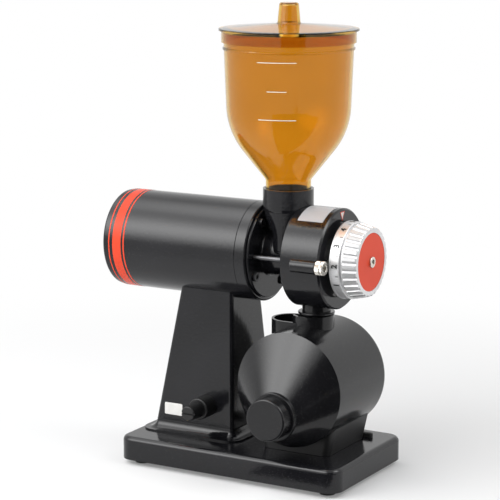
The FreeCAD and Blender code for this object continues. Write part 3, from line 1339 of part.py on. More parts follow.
def cone_loft(inset):
    """Slanting cone from the drum's open end down to the spout."""
    start = circle_y(CUP_NEAR_Y, CUP_Z, CUP_RADIUS - inset)
    end = circle_y(CONE_Y, SPOUT_Z, CUP_SPOUT_RADIUS - inset)
    return Part.makeLoft([end, start], True, True)


def cup_cone():
    spigot = CUP_RADIUS - CUP_WALL - SEAT_GAP
    neck = CUP_NECK_RADIUS - CUP_WALL
    neck_end = SPOUT_Y - CUP_NECK_LENGTH
    spout = lathe_y([(neck_end, 0), (neck_end, CUP_NECK_RADIUS), (SPOUT_Y, CUP_NECK_RADIUS),
                     (SPOUT_Y, CUP_SPOUT_RADIUS, EDGE_FINE), (CONE_Y, CUP_SPOUT_RADIUS),
                     (CONE_Y, 0)], CUP_X, SPOUT_Z)
    rim = rod_y(CUP_NEAR_Y, CUP_NEAR_Y + CUP_SPIGOT, spigot, CUP_X, CUP_Z)
    body = fuse(cone_loft(0), spout, rim)
    bore = rod_y(neck_end, CONE_Y + CUP_WALL, neck, CUP_X, SPOUT_Z)
    hollow = rod_y(CUP_NEAR_Y, CUP_NEAR_Y + CUP_SPIGOT, spigot - CUP_WALL, CUP_X, CUP_Z)
    inside = cone_loft(2 * CUP_WALL)
    return cut(body, bore, hollow, inside)


def cup_cap():
    back = SPOUT_Y - MOVE_GAP
    inner = CUP_NECK_RADIUS + MOVE_GAP
    floor = CAP_Y + CUP_CAP_WALL
    return lathe_y([(CAP_Y, 0), (CAP_Y, CUP_CAP_RADIUS, CUP_CAP_ROUND), (back, CUP_CAP_RADIUS), (back, inner),
                    (floor, inner), (floor, 0)], CUP_X, SPOUT_Z)


def foot_loft(inset, z1):
    """Pedestal that widens upwards from the base to the drum."""
    z0 = TOP_Z + CUP_FOOT_GAP
    wide = CUP_FOOT_TOP_HALF - inset
    narrow = CUP_FOOT_HALF - inset
    near, far = -CUP_FOOT_NEAR + inset, CUP_FOOT_FAR - inset
    low = rectangle(CUP_X - narrow, CUP_X + narrow, near, far, z0, CUP_FOOT_ROUND - inset)
    high = rectangle(CUP_X - wide, CUP_X + wide, near, far, z1, CUP_FOOT_ROUND - inset)
    return Part.makeLoft([low, high], True, True)


def cup_foot():
    top = TOP_Z + CUP_FOOT_TOP
    body = foot_loft(0, top).cut(foot_loft(CUP_WALL, top))
    return body.cut(rod_y(CUP_NEAR_Y, -CUP_NEAR_Y, CUP_RADIUS + SEAT_GAP, CUP_X, CUP_Z))


def cup_stop():
    near = CUP_FOOT_FAR + CUP_STOP_GAP
    reach = CUP_FOOT_HALF + CUP_STOP_OVERHANG
    bar = slab(CUP_X - reach, CUP_X + reach, near, near + CUP_STOP_WIDTH, TOP_Z, TOP_Z + CUP_STOP_HEIGHT,
               CUP_STOP_WIDTH / 2 - END_FLAT)
    return bar.makeChamfer(EDGE_FINE, level_edges(bar, TOP_Z + CUP_STOP_HEIGHT))


# Hopper and lid

def hopper_neck():
    return THROAT_RADIUS - THROAT_WALL - MOVE_GAP


def hopper():
    neck = hopper_neck()
    neck_z = HOPPER_Z + HOPPER_NECK_RISE
    shoulder_z = HOPPER_Z + HOPPER_SHOULDER_RISE
    bead_z = LID_Z - HOPPER_BEAD_DROP
    wall = HOPPER_WALL
    lean = (HOPPER_MOUTH_RADIUS - HOPPER_SHOULDER_RADIUS) / (LID_Z - shoulder_z)
    bead_r = HOPPER_SHOULDER_RADIUS + lean * (bead_z - shoulder_z)
    slant = wall / 2
    body = lathe_z([(HOPPER_Z, neck - wall), (HOPPER_Z, neck), (neck_z, neck, HOPPER_NECK_ROUND),
                    (shoulder_z, HOPPER_SHOULDER_RADIUS, HOPPER_ROUND), (LID_Z, HOPPER_MOUTH_RADIUS),
                    (LID_Z, HOPPER_MOUTH_RADIUS - wall),
                    (shoulder_z + slant, HOPPER_SHOULDER_RADIUS - wall, HOPPER_ROUND - wall),
                    (neck_z + slant, neck - wall, HOPPER_NECK_ROUND + wall)], THROAT_X, 0)
    proud_r = bead_r + HOPPER_BEAD_PROUD
    root_r = bead_r - slant
    bead = lathe_z([(bead_z - HOPPER_BEAD, root_r), (bead_z - HOPPER_BEAD, proud_r, EDGE_FINE),
                    (bead_z, proud_r, EDGE_FINE), (bead_z, root_r)], THROAT_X, 0)
    return fuse(body, bead)


def hopper_lid():
    inner = HOPPER_MOUTH_RADIUS + MOVE_GAP
    skirt = inner + LID_SKIRT_WALL
    rim_z = LID_Z + LID_RIM
    crown_z = rim_z + LID_RIM + LID_DOME
    top_z = crown_z + KNOB_HEIGHT
    hollow_r = KNOB_BASE_RADIUS - LID_WALL
    skirt_z = LID_Z - LID_SKIRT
    return lathe_z([(skirt_z, inner), (skirt_z, skirt), (rim_z, skirt), (rim_z, LID_RIM_RADIUS),
                    (rim_z + LID_RIM, LID_RIM_RADIUS, EDGE_FINE), (crown_z, KNOB_BASE_RADIUS, KNOB_ROOT),
                    (top_z, KNOB_TOP_RADIUS, KNOB_ROUND), (top_z, 0), (top_z - LID_WALL, 0),
                    (top_z - LID_WALL, KNOB_TOP_RADIUS - LID_WALL, EDGE_SOFT), (crown_z - LID_WALL, hollow_r),
                    (LID_Z, HOPPER_MOUTH_RADIUS - 2 * HOPPER_WALL), (LID_Z, inner)], THROAT_X, 0)


PIECES = (
    base, bottom_cover, rubber_feet, foot_screws, pillar, pillar_bolts, saddle_screws, cord_gland, gland_nut,
    fuse_body, fuse_nut, fuse_cap, fuse_cartridge, switch_frame, switch_rocker, run_capacitor, terminal_block,
    motor_tube, trim_bands, rear_cover, front_bracket, through_bolts, stator_core, stator_windings,
    rear_bearing, front_bearing, motor_shaft, rotor, cooling_fan, auger,
    feed_housing, shaft_seal, flange_screws, tie_studs, tie_nuts, burr_chamber, front_cover, thumb_screws,
    fixed_burr, fixed_burr_screws, rotating_burr, rotating_burr_screws, burr_holder, thrust_plunger,
    guide_pins, dial_grip, number_ring, dial_disc, dial_screw, dial_retainer, outlet_chute,
    cup_body, cup_cone, cup_cap, cup_foot, cup_stop, hopper, hopper_lid,
)

os.makedirs("parts", exist_ok=True)
for piece in PIECES:
    shape = piece()
    shape.translate(-ORIGIN)
    shape.exportStep(os.path.join("parts", piece.__name__ + ".step"))
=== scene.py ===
"""Finishes, markings, knurled screws, a throat rib and a plain studio for a bench burr coffee grinder."""

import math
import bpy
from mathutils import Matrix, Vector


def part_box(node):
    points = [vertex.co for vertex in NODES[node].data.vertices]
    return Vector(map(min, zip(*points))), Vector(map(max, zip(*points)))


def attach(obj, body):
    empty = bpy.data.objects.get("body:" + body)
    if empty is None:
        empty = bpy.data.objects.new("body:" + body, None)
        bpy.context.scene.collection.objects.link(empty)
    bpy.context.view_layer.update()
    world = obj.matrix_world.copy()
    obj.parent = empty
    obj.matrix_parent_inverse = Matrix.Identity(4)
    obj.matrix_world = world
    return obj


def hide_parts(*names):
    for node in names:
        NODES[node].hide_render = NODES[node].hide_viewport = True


bl_info = {
    "name": "Burr Grinder Dressing",
    "version": (1, 0, 0),
    "blender": (4, 5, 0),
    "location": "View3D > Sidebar > Grinder",
    "description": "Gives a burr coffee grinder its finishes, dial numbers, plates and studio",
    "category": "Object",
}

import bmesh
import bpy
from bpy.props import FloatProperty, FloatVectorProperty, IntProperty, PointerProperty
from mathutils import Matrix, Vector

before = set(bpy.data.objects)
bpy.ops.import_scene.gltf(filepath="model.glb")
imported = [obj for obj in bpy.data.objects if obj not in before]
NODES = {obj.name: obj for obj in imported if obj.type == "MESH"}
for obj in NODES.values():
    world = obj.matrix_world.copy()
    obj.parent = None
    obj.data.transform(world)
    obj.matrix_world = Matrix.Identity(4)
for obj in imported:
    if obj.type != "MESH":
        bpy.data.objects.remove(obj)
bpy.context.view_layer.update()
MM = 0.001
# Gap under plates and lines, and the distance from which a surface is looked for
SKIN = 0.05 * MM
PROBE = 20 * MM
# Corners closer than this are one corner
WELD = 0.0001 * MM
CORNER_STEPS = 5
QUARTER_TURN = math.radians(90)
SMOOTH_ANGLE = math.radians(40)

# Places that the CAD pieces give
RING_LOW, RING_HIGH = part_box("number_ring")
_, DRUM_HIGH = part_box("burr_chamber")
COVER_LOW, COVER_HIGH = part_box("front_cover")
THUMB_LOW, THUMB_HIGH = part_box("thumb_screws")
PILLAR_LOW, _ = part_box("pillar")
HOPPER_LOW, HOPPER_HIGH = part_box("hopper")
AXIS_Y = (RING_LOW.y + RING_HIGH.y) / 2
AXIS_Z = (RING_LOW.z + RING_HIGH.z) / 2
AXIS = Vector((0, AXIS_Y, AXIS_Z))
HOPPER_AXIS = Vector(((HOPPER_LOW.x + HOPPER_HIGH.x) / 2, (HOPPER_LOW.y + HOPPER_HIGH.y) / 2, 0))
ALONG = Vector((1, 0, 0))
NEAR = Vector((0, -1, 0))
UP = Vector((0, 0, 1))

# Soft lamps: heading and height above the horizon in degrees, width and height in metres
LAMPS = {
    "left": (-126, 30, 2.1, 1.6),
    "front": (-95, 35, 1.1, 0.9),
    "top": (185, 66, 1.7, 1.6),
    "right": (5, 40, 1.2, 1.2),
}
LAMP_DISTANCE = 1.35
LAMP_MIDDLE = Vector((0, 0, 0.2))
# Watts for each square metre of lamp that give a brightness of 1
LAMP_POWER = math.pi
WHITE = (1.0, 1.0, 1.0)
FILL_TINT = (0.97, 0.985, 1.0)
DUST = (0.16, 0.155, 0.15)
FINE_DUST = (0.09, 0.088, 0.085)
CARD_BLACK = (0.008, 0.008, 0.008)
FLOOR_REACH = 6
# Dark cards: heading and height above the horizon in degrees and distance, then width and height
CURTAIN_PLACE = (-53, 10, 2.0)
CURTAIN_SIZE = (1.5, 1.4)
CLOTH_PLACE = (-48, 0, 0.85)
CLOTH_SIZE = (1.1, 1.1)


# Settings

def colour(name, description, value):
    return FloatVectorProperty(name=name, description=description, default=value, size=3, min=0, max=1,
                               subtype="COLOR")


def share(name, description, value):
    return FloatProperty(name=name, description=description, default=value, min=0, subtype="FACTOR")


def length(name, description, value):
    return FloatProperty(name=name, description=description, default=value, min=0, unit="LENGTH",
                         precision=5)


def count(name, description, value, least=1, most=100):
    return IntProperty(name=name, description=description, default=value, min=least, max=most)


def level(name, description, value):
    return FloatProperty(name=name, description=description, default=value, min=0)


def angle(name, description, degrees):
    return FloatProperty(name=name, description=description, default=math.radians(degrees), unit="ROTATION")


class FinishSettings(bpy.types.PropertyGroup):
    """Colours and surface texture."""

    enamel: colour("Enamel", "Black paint on the castings", (0.0065, 0.0065, 0.0078))
    moulding: colour("Moulding", "Black plastic of the cup and fittings", (0.0060, 0.0060, 0.0068))
    fitting: colour("Fitting", "Dull black plastic of the fuse holder and switch", (0.0090, 0.0090, 0.0094))
    amber: colour("Amber", "Clear plastic of the hopper and lid", (0.76, 0.46, 0.085))
    red: colour("Red", "Trim bands and dial disc", (0.72, 0.066, 0.028))
    silver: colour("Silver", "Turned aluminium of the dial", (0.74, 0.74, 0.745))
    nickel: colour("Nickel", "Plated screws", (0.72, 0.69, 0.63))
    dark_steel: colour("Dark steel", "Blackened screws and studs", (0.13, 0.13, 0.135))
    steel: colour("Steel", "Ground steel inside", (0.52, 0.52, 0.52))
    copper: colour("Copper", "Motor winding", (0.56, 0.23, 0.09))
    rubber: colour("Rubber", "Feet, seal and cup stop", (0.018, 0.018, 0.018))
    plate: colour("Plate", "Bare plate on the burr chamber", (0.50, 0.51, 0.53))
    ink: colour("Ink", "Printed numbers", (0.012, 0.012, 0.012))
    mark: colour("Mark", "White marks", (0.80, 0.79, 0.76))
    peel_depth: length("Orange peel", "Depth of the waviness in the paint", 0.00006)


class DialSettings(bpy.types.PropertyGroup):
    """Numbers round the dial and the mark that they are read against."""

    numbers: count("Numbers", "Highest setting on the dial", 8, 2, 11)
    at_pointer: count("At pointer", "Setting under the pointer at rest", 5)
    step: angle("Step", "Turn between two settings", 30)
    size: length("Digit size", "Height of the digits", 0.0047)
    slices: count("Slices", "Cuts that let a digit bend round the ring", 7)
    font: share("Font", "Size of the font over the height of its digits", 1.4)
    weight: length("Digit weight", "How much the strokes are thickened", 0.00012)
    across: share("Across", "Where the digits stand across the ring", 0.58)
    depth: length("Print depth", "Thickness of the print", 0.00012)
    sink: length("Print sink", "How far the print reaches into the ring", 0.00002)
    tick: length("Tick", "Length of a half-step mark", 0.0024)
    tick_width: length("Tick width", "Width of a half-step mark", 0.00045)
    tick_inset: length("Tick inset", "Gap between a half-step mark and the ring's edge", 0.0009)
    pointer_width: length("Pointer width", "Width of the pointer triangle", 0.0078)
    pointer_height: length("Pointer height", "Height of the pointer triangle", 0.0074)
    pointer_line: length("Pointer line", "Width of the pointer's outline", 0.0007)
    pointer_inset: length("Pointer inset", "Gap between the pointer and the cover's edge", 0.0023)
    pointer_rise: length("Pointer rise", "Thickness of the pointer's print", 0.00015)


class ScrewSettings(bpy.types.PropertyGroup):
    """Knurled heads of the two cover screws."""

    ridges: count("Ridges", "Ridges round a head", 36, 12, 60)
    ridge_depth: length("Ridge depth", "Depth of the knurl", 0.00028)
    seat: share("Seat", "Where the heads seat in the depth of the cover", 0.9725)
    chamfer: length("Chamfer", "Chamfer on the edges of a screw", 0.0006)
    neck_depth: length("Neck depth", "Depth of the groove round a head", 0.0007)
    neck_start: share("Neck start", "Where the groove starts along a head", 0.52)
    neck_end: share("Neck end", "Where the groove ends along a head", 0.72)
    neck_slope: share("Neck slope", "Length of the groove's sloping sides along a head", 0.04)
    socket: length("Socket", "Corner radius of the hexagon socket", 0.0027)
    socket_lead: share("Socket lead", "Radius of the socket's chamfer over its corner radius", 1.12)
    socket_depth: length("Socket depth", "Depth of the hexagon socket", 0.004)
    shank: length("Shank", "Radius of the threaded shank", 0.002)


class PlateSettings(bpy.types.PropertyGroup):
    """Bare plates and the lines on the hopper."""

    thickness: length("Thickness", "Thickness of a plate", 0.00025)
    corner: length("Corner", "Corner rounding of a plate", 0.0009)
    top_length: length("Top plate", "Length of the plate on the burr chamber", 0.0225)
    top_reach: length("Top plate reach", "How far the top plate goes past the burr chamber", 0.0023)
    top_start: angle("Top plate start", "Where the top plate starts, from the top towards the near side", 1)
    top_turn: angle("Top plate turn", "How far the top plate goes round", 36)
    top_steps: count("Top plate steps", "Faces round the top plate", 16)
    label_width: length("Label width", "Width of the pillar label", 0.017)
    label_height: length("Label height", "Height of the pillar label", 0.010)
    label_place: FloatVectorProperty(name="Label place", description="Middle of the label, along and up",
                                     default=(-0.0558, 0.0425), size=2, unit="LENGTH")
    line_width: length("Line width", "Width of a line on the hopper", 0.00048)
    line_depth: length("Line depth", "Thickness of a line on the hopper", 0.00012)
    line_steps: count("Line steps", "Faces along a line on the hopper", 20)
    line_heading: angle("Line heading", "Compass heading of the middle of the hopper lines", -72)
    line_heights: FloatVectorProperty(name="Line heights", description="Heights of the hopper lines",
                                      default=(0.3373, 0.3149, 0.2928), size=3, unit="LENGTH")
    line_turns: FloatVectorProperty(name="Line turns", description="How far each hopper line goes round",
                                    default=(0.61, 0.31, 0.61), size=3, unit="ROTATION")


class RibSettings(bpy.types.PropertyGroup):
    """Rib that carries the throat down in front of the feed barrel."""

    front: length("Front", "Reach of the rib in front of the shaft", 0.0203)
    radius: length("Radius", "Radius of the rib's front over the barrel", 0.0100)
    shift: length("Shift", "How far the rib stands towards the burr chamber", 0.0029)
    collar: length("Collar", "Radius where the rib meets the collar", 0.0204)
    top: length("Top", "Height of the rib's upper end over the shaft", 0.0356)
    neck: length("Neck", "Height over the shaft where the taper ends", 0.0165)
    foot: length("Foot", "Height of the rib's lower end over the shaft", 0.0015)
    foot_round: length("Foot round", "Height over which the lower end rounds off", 0.0035)
    foot_edge: share("Foot edge", "Square of the depth that is left at the lower end", 0.02)
    barrel: length("Barrel", "Radius of the middle of the barrel's wall", 0.0174)
    bore: length("Bore", "Clear radius in the neck", 0.0112)
    funnel: length("Funnel", "Clear radius under the collar", 0.0165)
    rows: count("Rows", "Rows of faces from foot to top", 26, 4)
    steps: count("Steps", "Faces across the front", 28, 6)


class StageSettings(bpy.types.PropertyGroup):
    """Camera, floor and lamps."""

    camera: FloatVectorProperty(name="Camera", description="Place of the camera",
                                default=(0.8035, -1.3764, 0.485), size=3, subtype="XYZ", unit="LENGTH")
    target: FloatVectorProperty(name="Target", description="Point in the middle of the view",
                                default=(0.00295, 0.009025, 0.17845), size=3, subtype="XYZ", unit="LENGTH")
    lens: FloatProperty(name="Lens", description="Focal length on a 36 mm sensor", default=143.9, min=10)
    floor: colour("Floor", "Floor and backdrop", (0.80, 0.80, 0.80))
    near_white: share("Near white", "How white the floor is where it keeps the shadow", 0.15)
    fade_start: length("Fade start", "Distance at which the floor starts to fade to white", 0.2)
    fade_end: length("Fade end", "Distance at which the floor is all white", 0.7)
    fill: level("Fill", "Level of the light from all round", 0.42)
    left: level("Left lamp", "Brightness of the soft lamp on the left", 6.4)
    front: level("Front lamp", "Brightness of the lamp in front", 4.6)
    top: level("Top lamp", "Brightness of the soft lamp overhead", 3.2)
    right: level("Right lamp", "Brightness of the lamp on the right", 6.5)


# Shader expressions

# Sockets of a Mix node that are used when it mixes colours
MIX_FACTOR, MIX_FIRST, MIX_SECOND = 0, 6, 7
MIX_RESULT = 2


class Value:
    """A number in a shader. Arithmetic on it adds Math nodes."""

    def __init__(self, graph, socket):
        self.graph = graph
        self.socket = socket

    def math(self, operation, *operands):
        return self.graph.add("ShaderNodeMath", {"operation": operation}, dict(enumerate(operands)))

    def __add__(self, other):
        return self.math("ADD", self, other)

    def __radd__(self, other):
        return self.math("ADD", other, self)

    def __sub__(self, other):
        return self.math("SUBTRACT", self, other)

    def __rsub__(self, other):
        return self.math("SUBTRACT", other, self)

    def __mul__(self, other):
        return self.math("MULTIPLY", self, other)

    def __rmul__(self, other):
        return self.math("MULTIPLY", other, self)

    def size(self):
        """Drop the sign."""
        return self.math("ABSOLUTE", self)

    def limit(self):
        """Keep the number between 0 and 1."""
        return self.graph.add("ShaderNodeClamp", {}, {"Value": self})

    def spread(self, start, end):
        """Stretch the part from start to end over 0 to 1, with soft ends."""
        return self.graph.add("ShaderNodeMapRange", {"interpolation_type": "SMOOTHSTEP"},
                              {"Value": self, "From Min": start, "From Max": end})


class Graph:
    """A node tree that is filled from expressions."""

    def __init__(self, owner):
        owner.use_nodes = True
        self.owner = owner
        self.tree = owner.node_tree
        self.tree.nodes.clear()

    def add(self, kind, settings=None, sockets=None, output=0):
        """Add a node, set its settings, fill its sockets and give back one of its outputs, if it has any."""
        node = self.tree.nodes.new(kind)
        for name, setting in (settings or {}).items():
            setattr(node, name, setting)
        for name, value in (sockets or {}).items():
            target = node.inputs[name]
            if isinstance(value, Value):
                self.tree.links.new(value.socket, target)
            elif hasattr(value, "__len__") and len(value) == 3 and target.type == "RGBA":
                target.default_value = (*value, 1)
            else:
                target.default_value = value
        return Value(self, node.outputs[output]) if node.outputs else None

    def place(self):
        return self.add("ShaderNodeTexCoord", {}, {}, "Object")

    def stretched(self, scale):
        """Object coordinates stretched along each axis."""
        return self.add("ShaderNodeMapping", {}, {"Vector": self.place(), "Scale": scale})

    def noise(self, scale, detail, where=None):
        sockets = {"Vector": where or self.place(), "Scale": scale, "Detail": detail}
        return self.add("ShaderNodeTexNoise", {}, sockets)

    def blend(self, factor, first, second):
        """Mix two colours."""
        sockets = {MIX_FACTOR: factor, MIX_FIRST: first, MIX_SECOND: second}
        return self.add("ShaderNodeMix", {"data_type": "RGBA"}, sockets, MIX_RESULT)

    def bump(self, height, distance):
        return self.add("ShaderNodeBump", {}, {"Height": height, "Distance": distance, "Strength": 1.0})

    def surface(self, sockets):
        self.output(self.add("ShaderNodeBsdfPrincipled", {}, sockets))
        return self.owner

    def output(self, shader):
        kinds = {"WORLD": "ShaderNodeOutputWorld", "LIGHT": "ShaderNodeOutputLight",
                 "MATERIAL": "ShaderNodeOutputMaterial"}
        self.add(kinds[self.owner.id_type], {}, {"Surface": shader})


def shade(rgb, factor):
    return tuple(min(1.0, channel * factor) for channel in rgb)


def new_graph(name):
    return Graph(bpy.data.materials.new(name))


# Finishes

def gloss_black(name, rgb, peel, dust, roughness):
    """Dark gloss with fine waviness, dulled patches and a trace of dust."""
    graph = new_graph(name)
    patches = graph.noise(scale=22, detail=3).spread(start=0.42, end=0.72)
    specks = graph.noise(scale=1500, detail=1).spread(start=0.70, end=0.76)
    fine = graph.noise(scale=420, detail=2)
    tint = graph.blend(patches * 0.5, rgb, shade(rgb, 1.7))
    tint = graph.blend(specks * dust, tint, DUST)
    normal = graph.bump(fine, peel)
    return graph.surface({"Base Color": tint, "Roughness": roughness + patches * 0.05 + specks * 0.2,
                          "Specular IOR Level": 0.38, "Normal": normal})


def amber_clear(rgb):
    graph = new_graph("amber_clear")
    drift = graph.noise(scale=16, detail=2).spread(start=0.3, end=0.7)
    streaks = graph.noise(scale=40, detail=3, where=graph.stretched((1.0, 1.0, 0.08)))
    tint = graph.blend(drift, rgb, shade(rgb, 0.93))
    return graph.surface({"Base Color": tint, "Roughness": 0.03 + streaks * 0.05, "IOR": 1.36,
                          "Transmission Weight": 1.0, "Normal": graph.bump(streaks, 0.05 * MM)})


def red_gloss(rgb):
    graph = new_graph("red_gloss")
    drift = graph.noise(scale=30, detail=3).spread(start=0.3, end=0.7)
    grain = graph.noise(scale=2600, detail=1)
    tint = graph.blend(drift, rgb, shade(rgb, 0.94))
    return graph.surface({"Base Color": tint, "Roughness": 0.3 + drift * 0.06, "Specular IOR Level": 0.15,
                          "Normal": graph.bump(grain, 0.012 * MM)})


def turned_metal(name, rgb, roughness, lines):
    """Metal turned in a lathe, with fine lines round the motor axis."""
    graph = new_graph(name)
    rings = graph.noise(scale=lines, detail=2, where=graph.stretched((1.0, 0.02, 0.02)))
    stain = graph.noise(scale=60, detail=3).spread(start=0.35, end=0.75)
    tint = graph.blend(stain, rgb, shade(rgb, 0.88))
    return graph.surface({"Base Color": tint, "Metallic": 0.7, "Roughness": roughness + rings * 0.12,
                          "Normal": graph.bump(rings, 0.02 * MM)})


def plain_metal(name, rgb, roughness):
    graph = new_graph(name)
    stain = graph.noise(scale=90, detail=4).spread(start=0.3, end=0.75)
    scratch = graph.noise(scale=700, detail=2, where=graph.stretched((0.12, 1.0, 1.0)))
    tint = graph.blend(stain, rgb, shade(rgb, 0.8))
    return graph.surface({"Base Color": tint, "Metallic": 1.0, "Roughness": roughness + scratch * 0.15,
                          "Normal": graph.bump(scratch, 0.01 * MM)})


def laminated(rgb):
    graph = new_graph("laminated_iron")
    sheets = graph.add("ShaderNodeTexWave", {"bands_direction": "X"},
                       {"Vector": graph.place(), "Scale": 640.0})
    tint = graph.blend(sheets, shade(rgb, 0.35), shade(rgb, 0.7))
    return graph.surface({"Base Color": tint, "Metallic": 1.0, "Roughness": 0.42 + sheets * 0.1,
                          "Normal": graph.bump(sheets, 0.05 * MM)})


def wound_copper(rgb):
    graph = new_graph("wound_copper")
    turns = graph.add("ShaderNodeTexWave", {"wave_type": "RINGS", "rings_direction": "X"},
                      {"Vector": graph.place(), "Scale": 420.0, "Distortion": 1.5})
    tint = graph.blend(turns, shade(rgb, 0.45), rgb)
    return graph.surface({"Base Color": tint, "Metallic": 1.0, "Roughness": 0.3 + turns * 0.1,
                          "Normal": graph.bump(turns, 0.2 * MM)})


def matt_rubber(rgb):
    graph = new_graph("matt_rubber")
    grain = graph.noise(scale=1800, detail=3)
    dust = graph.noise(scale=60, detail=4).spread(start=0.45, end=0.8)
    tint = graph.blend(dust * 0.4, rgb, FINE_DUST)
    return graph.surface({"Base Color": tint, "Roughness": 0.62 + grain * 0.2,
                          "Normal": graph.bump(grain, 0.06 * MM)})


def clear_glass():
    graph = new_graph("fuse_glass")
    haze = graph.noise(scale=200, detail=2)
    return graph.surface({"Base Color": (0.92, 0.95, 0.94), "Roughness": 0.02 + haze * 0.03,
                          "Transmission Weight": 1.0, "IOR": 1.5})


def brushed_plate(rgb):
    graph = new_graph("brushed_plate")
    brush = graph.noise(scale=900, detail=3, where=graph.stretched((0.05, 1.0, 1.0)))
    tint = graph.blend(brush, shade(rgb, 0.9), rgb)
    return graph.surface({"Base Color": tint, "Metallic": 0.15, "Roughness": 0.34 + brush * 0.14,
                          "Normal": graph.bump(brush, 0.01 * MM)})


def paper_label(rgb):
    graph = new_graph("paper_label")
    fibre = graph.noise(scale=1600, detail=4)
    soil = graph.noise(scale=140, detail=3).spread(start=0.4, end=0.8)
    tint = graph.blend(soil * 0.35, rgb, shade(rgb, 0.72))
    return graph.surface({"Base Color": tint, "Roughness": 0.45 + fibre * 0.15,
                          "Normal": graph.bump(fibre, 0.02 * MM)})


def print_ink(name, rgb):
    graph = new_graph(name)
    wear = graph.noise(scale=900, detail=3).spread(start=0.35, end=0.75)
    tint = graph.blend(wear * 0.5, rgb, shade(rgb, 0.8))
    return graph.surface({"Base Color": tint, "Roughness": 0.42 + wear * 0.12,
                          "Normal": graph.bump(wear, 0.01 * MM)})


CASTINGS = ("base", "pillar", "motor_tube", "rear_cover", "front_bracket", "feed_housing", "burr_chamber",
            "front_cover")
MOULDINGS = ("cup_body", "cup_cone", "cup_cap", "outlet_chute", "cooling_fan")
FITTINGS = ("cup_foot", "fuse_body", "fuse_nut", "fuse_cap", "switch_frame", "switch_rocker", "cord_gland",
            "gland_nut", "terminal_block")
CLEAR = ("hopper", "hopper_lid")
RED = ("trim_bands", "dial_disc")
TURNED = ("number_ring", "dial_grip")
PLATED = ("dial_screw", "foot_screws", "pillar_bolts", "saddle_screws", "through_bolts", "fixed_burr_screws",
          "rotating_burr_screws", "guide_pins", "dial_retainer")
BLACKENED = ("flange_screws", "tie_studs", "tie_nuts")
GROUND = ("motor_shaft", "rear_bearing", "front_bearing", "fixed_burr", "rotating_burr", "burr_holder",
          "auger", "thrust_plunger", "bottom_cover", "run_capacitor")
IRON = ("stator_core", "rotor")
RUBBER = ("rubber_feet", "shaft_seal", "cup_stop")


# Mesh helpers

def new_mesh(name, shape):
    mesh = bpy.data.meshes.new(name)
    shape.to_mesh(mesh)
    shape.free()
    return mesh


def join_into(whole, shape):
    """Move a bmesh into a larger one."""
    part = new_mesh("part", shape)
    whole.from_mesh(part)
    bpy.data.meshes.remove(part)


def finish_mesh(name, shape, material, body):
    """Turn a bmesh into a piece that rides on a body of the frame."""
    mesh = new_mesh(name, shape)
    mesh.materials.append(material)
    piece = bpy.data.objects.new(name, mesh)
    bpy.context.scene.collection.objects.link(piece)
    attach(piece, body)
    return piece


def tidy_normals(shape):
    bmesh.ops.remove_doubles(shape, verts=shape.verts, dist=WELD)
    bmesh.ops.recalc_face_normals(shape, faces=shape.faces)


def round_corners(shape, verts, radius):
    bmesh.ops.bevel(shape, geom=verts, offset=radius, offset_type="OFFSET", affect="VERTICES",
                    segments=CORNER_STEPS, profile=0.5, material=-1)


def rectangle(width, height):
    """Flat rectangle about the origin, facing up."""
    shape = bmesh.new()
    bmesh.ops.create_grid(shape, x_segments=1, y_segments=1, size=0.5)
    bmesh.ops.scale(shape, verts=shape.verts, vec=(width, height, 1))
    return shape


def quarter_turn(shape, axis):
    turn = Matrix.Rotation(QUARTER_TURN, 3, axis)
    bmesh.ops.rotate(shape, verts=shape.verts, cent=(0, 0, 0), matrix=turn)


def verts_of(made):
    return [item for item in made["geom"] if isinstance(item, bmesh.types.BMVert)]


def push_out(shape, move):
    """Give flat work its thickness by pushing its faces out."""
    moved = verts_of(bmesh.ops.extrude_face_region(shape, geom=shape.faces[:]))
    bmesh.ops.translate(shape, verts=moved, vec=move)
    bmesh.ops.recalc_face_normals(shape, faces=shape.faces)


def thicken(shape, thickness):
    """Give a sheet its thickness, outwards from the side that its faces show."""
    bmesh.ops.recalc_face_normals(shape, faces=shape.faces)
    bmesh.ops.solidify(shape, geom=shape.faces, thickness=-thickness)
    bmesh.ops.recalc_face_normals(shape, faces=shape.faces)


def swept_strip(start, end, centre, axis, turn, steps):
    """Band that a straight edge leaves when it is spun round a line."""
    shape = bmesh.new()
    edge = shape.edges.new((shape.verts.new(start), shape.verts.new(end)))
    bmesh.ops.spin(shape, geom=[edge, *edge.verts], cent=centre, axis=axis, angle=turn, steps=steps,
                   use_merge=False)
    return shape


def wrap_on_ring(shape, radius):
    """Lay flat work on a cylinder about the motor axis: X along it, Y round it from the top, Z outwards."""
    for vert in shape.verts:
        along, around, out = vert.co
        turn = around / radius
        reach = radius + out
        vert.co = (along, AXIS_Y + reach * math.sin(turn), AXIS_Z + reach * math.cos(turn))


def surface_hit(node, start, direction):
    found, place, _, _ = NODES[node].ray_cast(start, direction)
    if not found:
        raise RuntimeError("no surface of " + node + " on that line")
    return place


# Operators

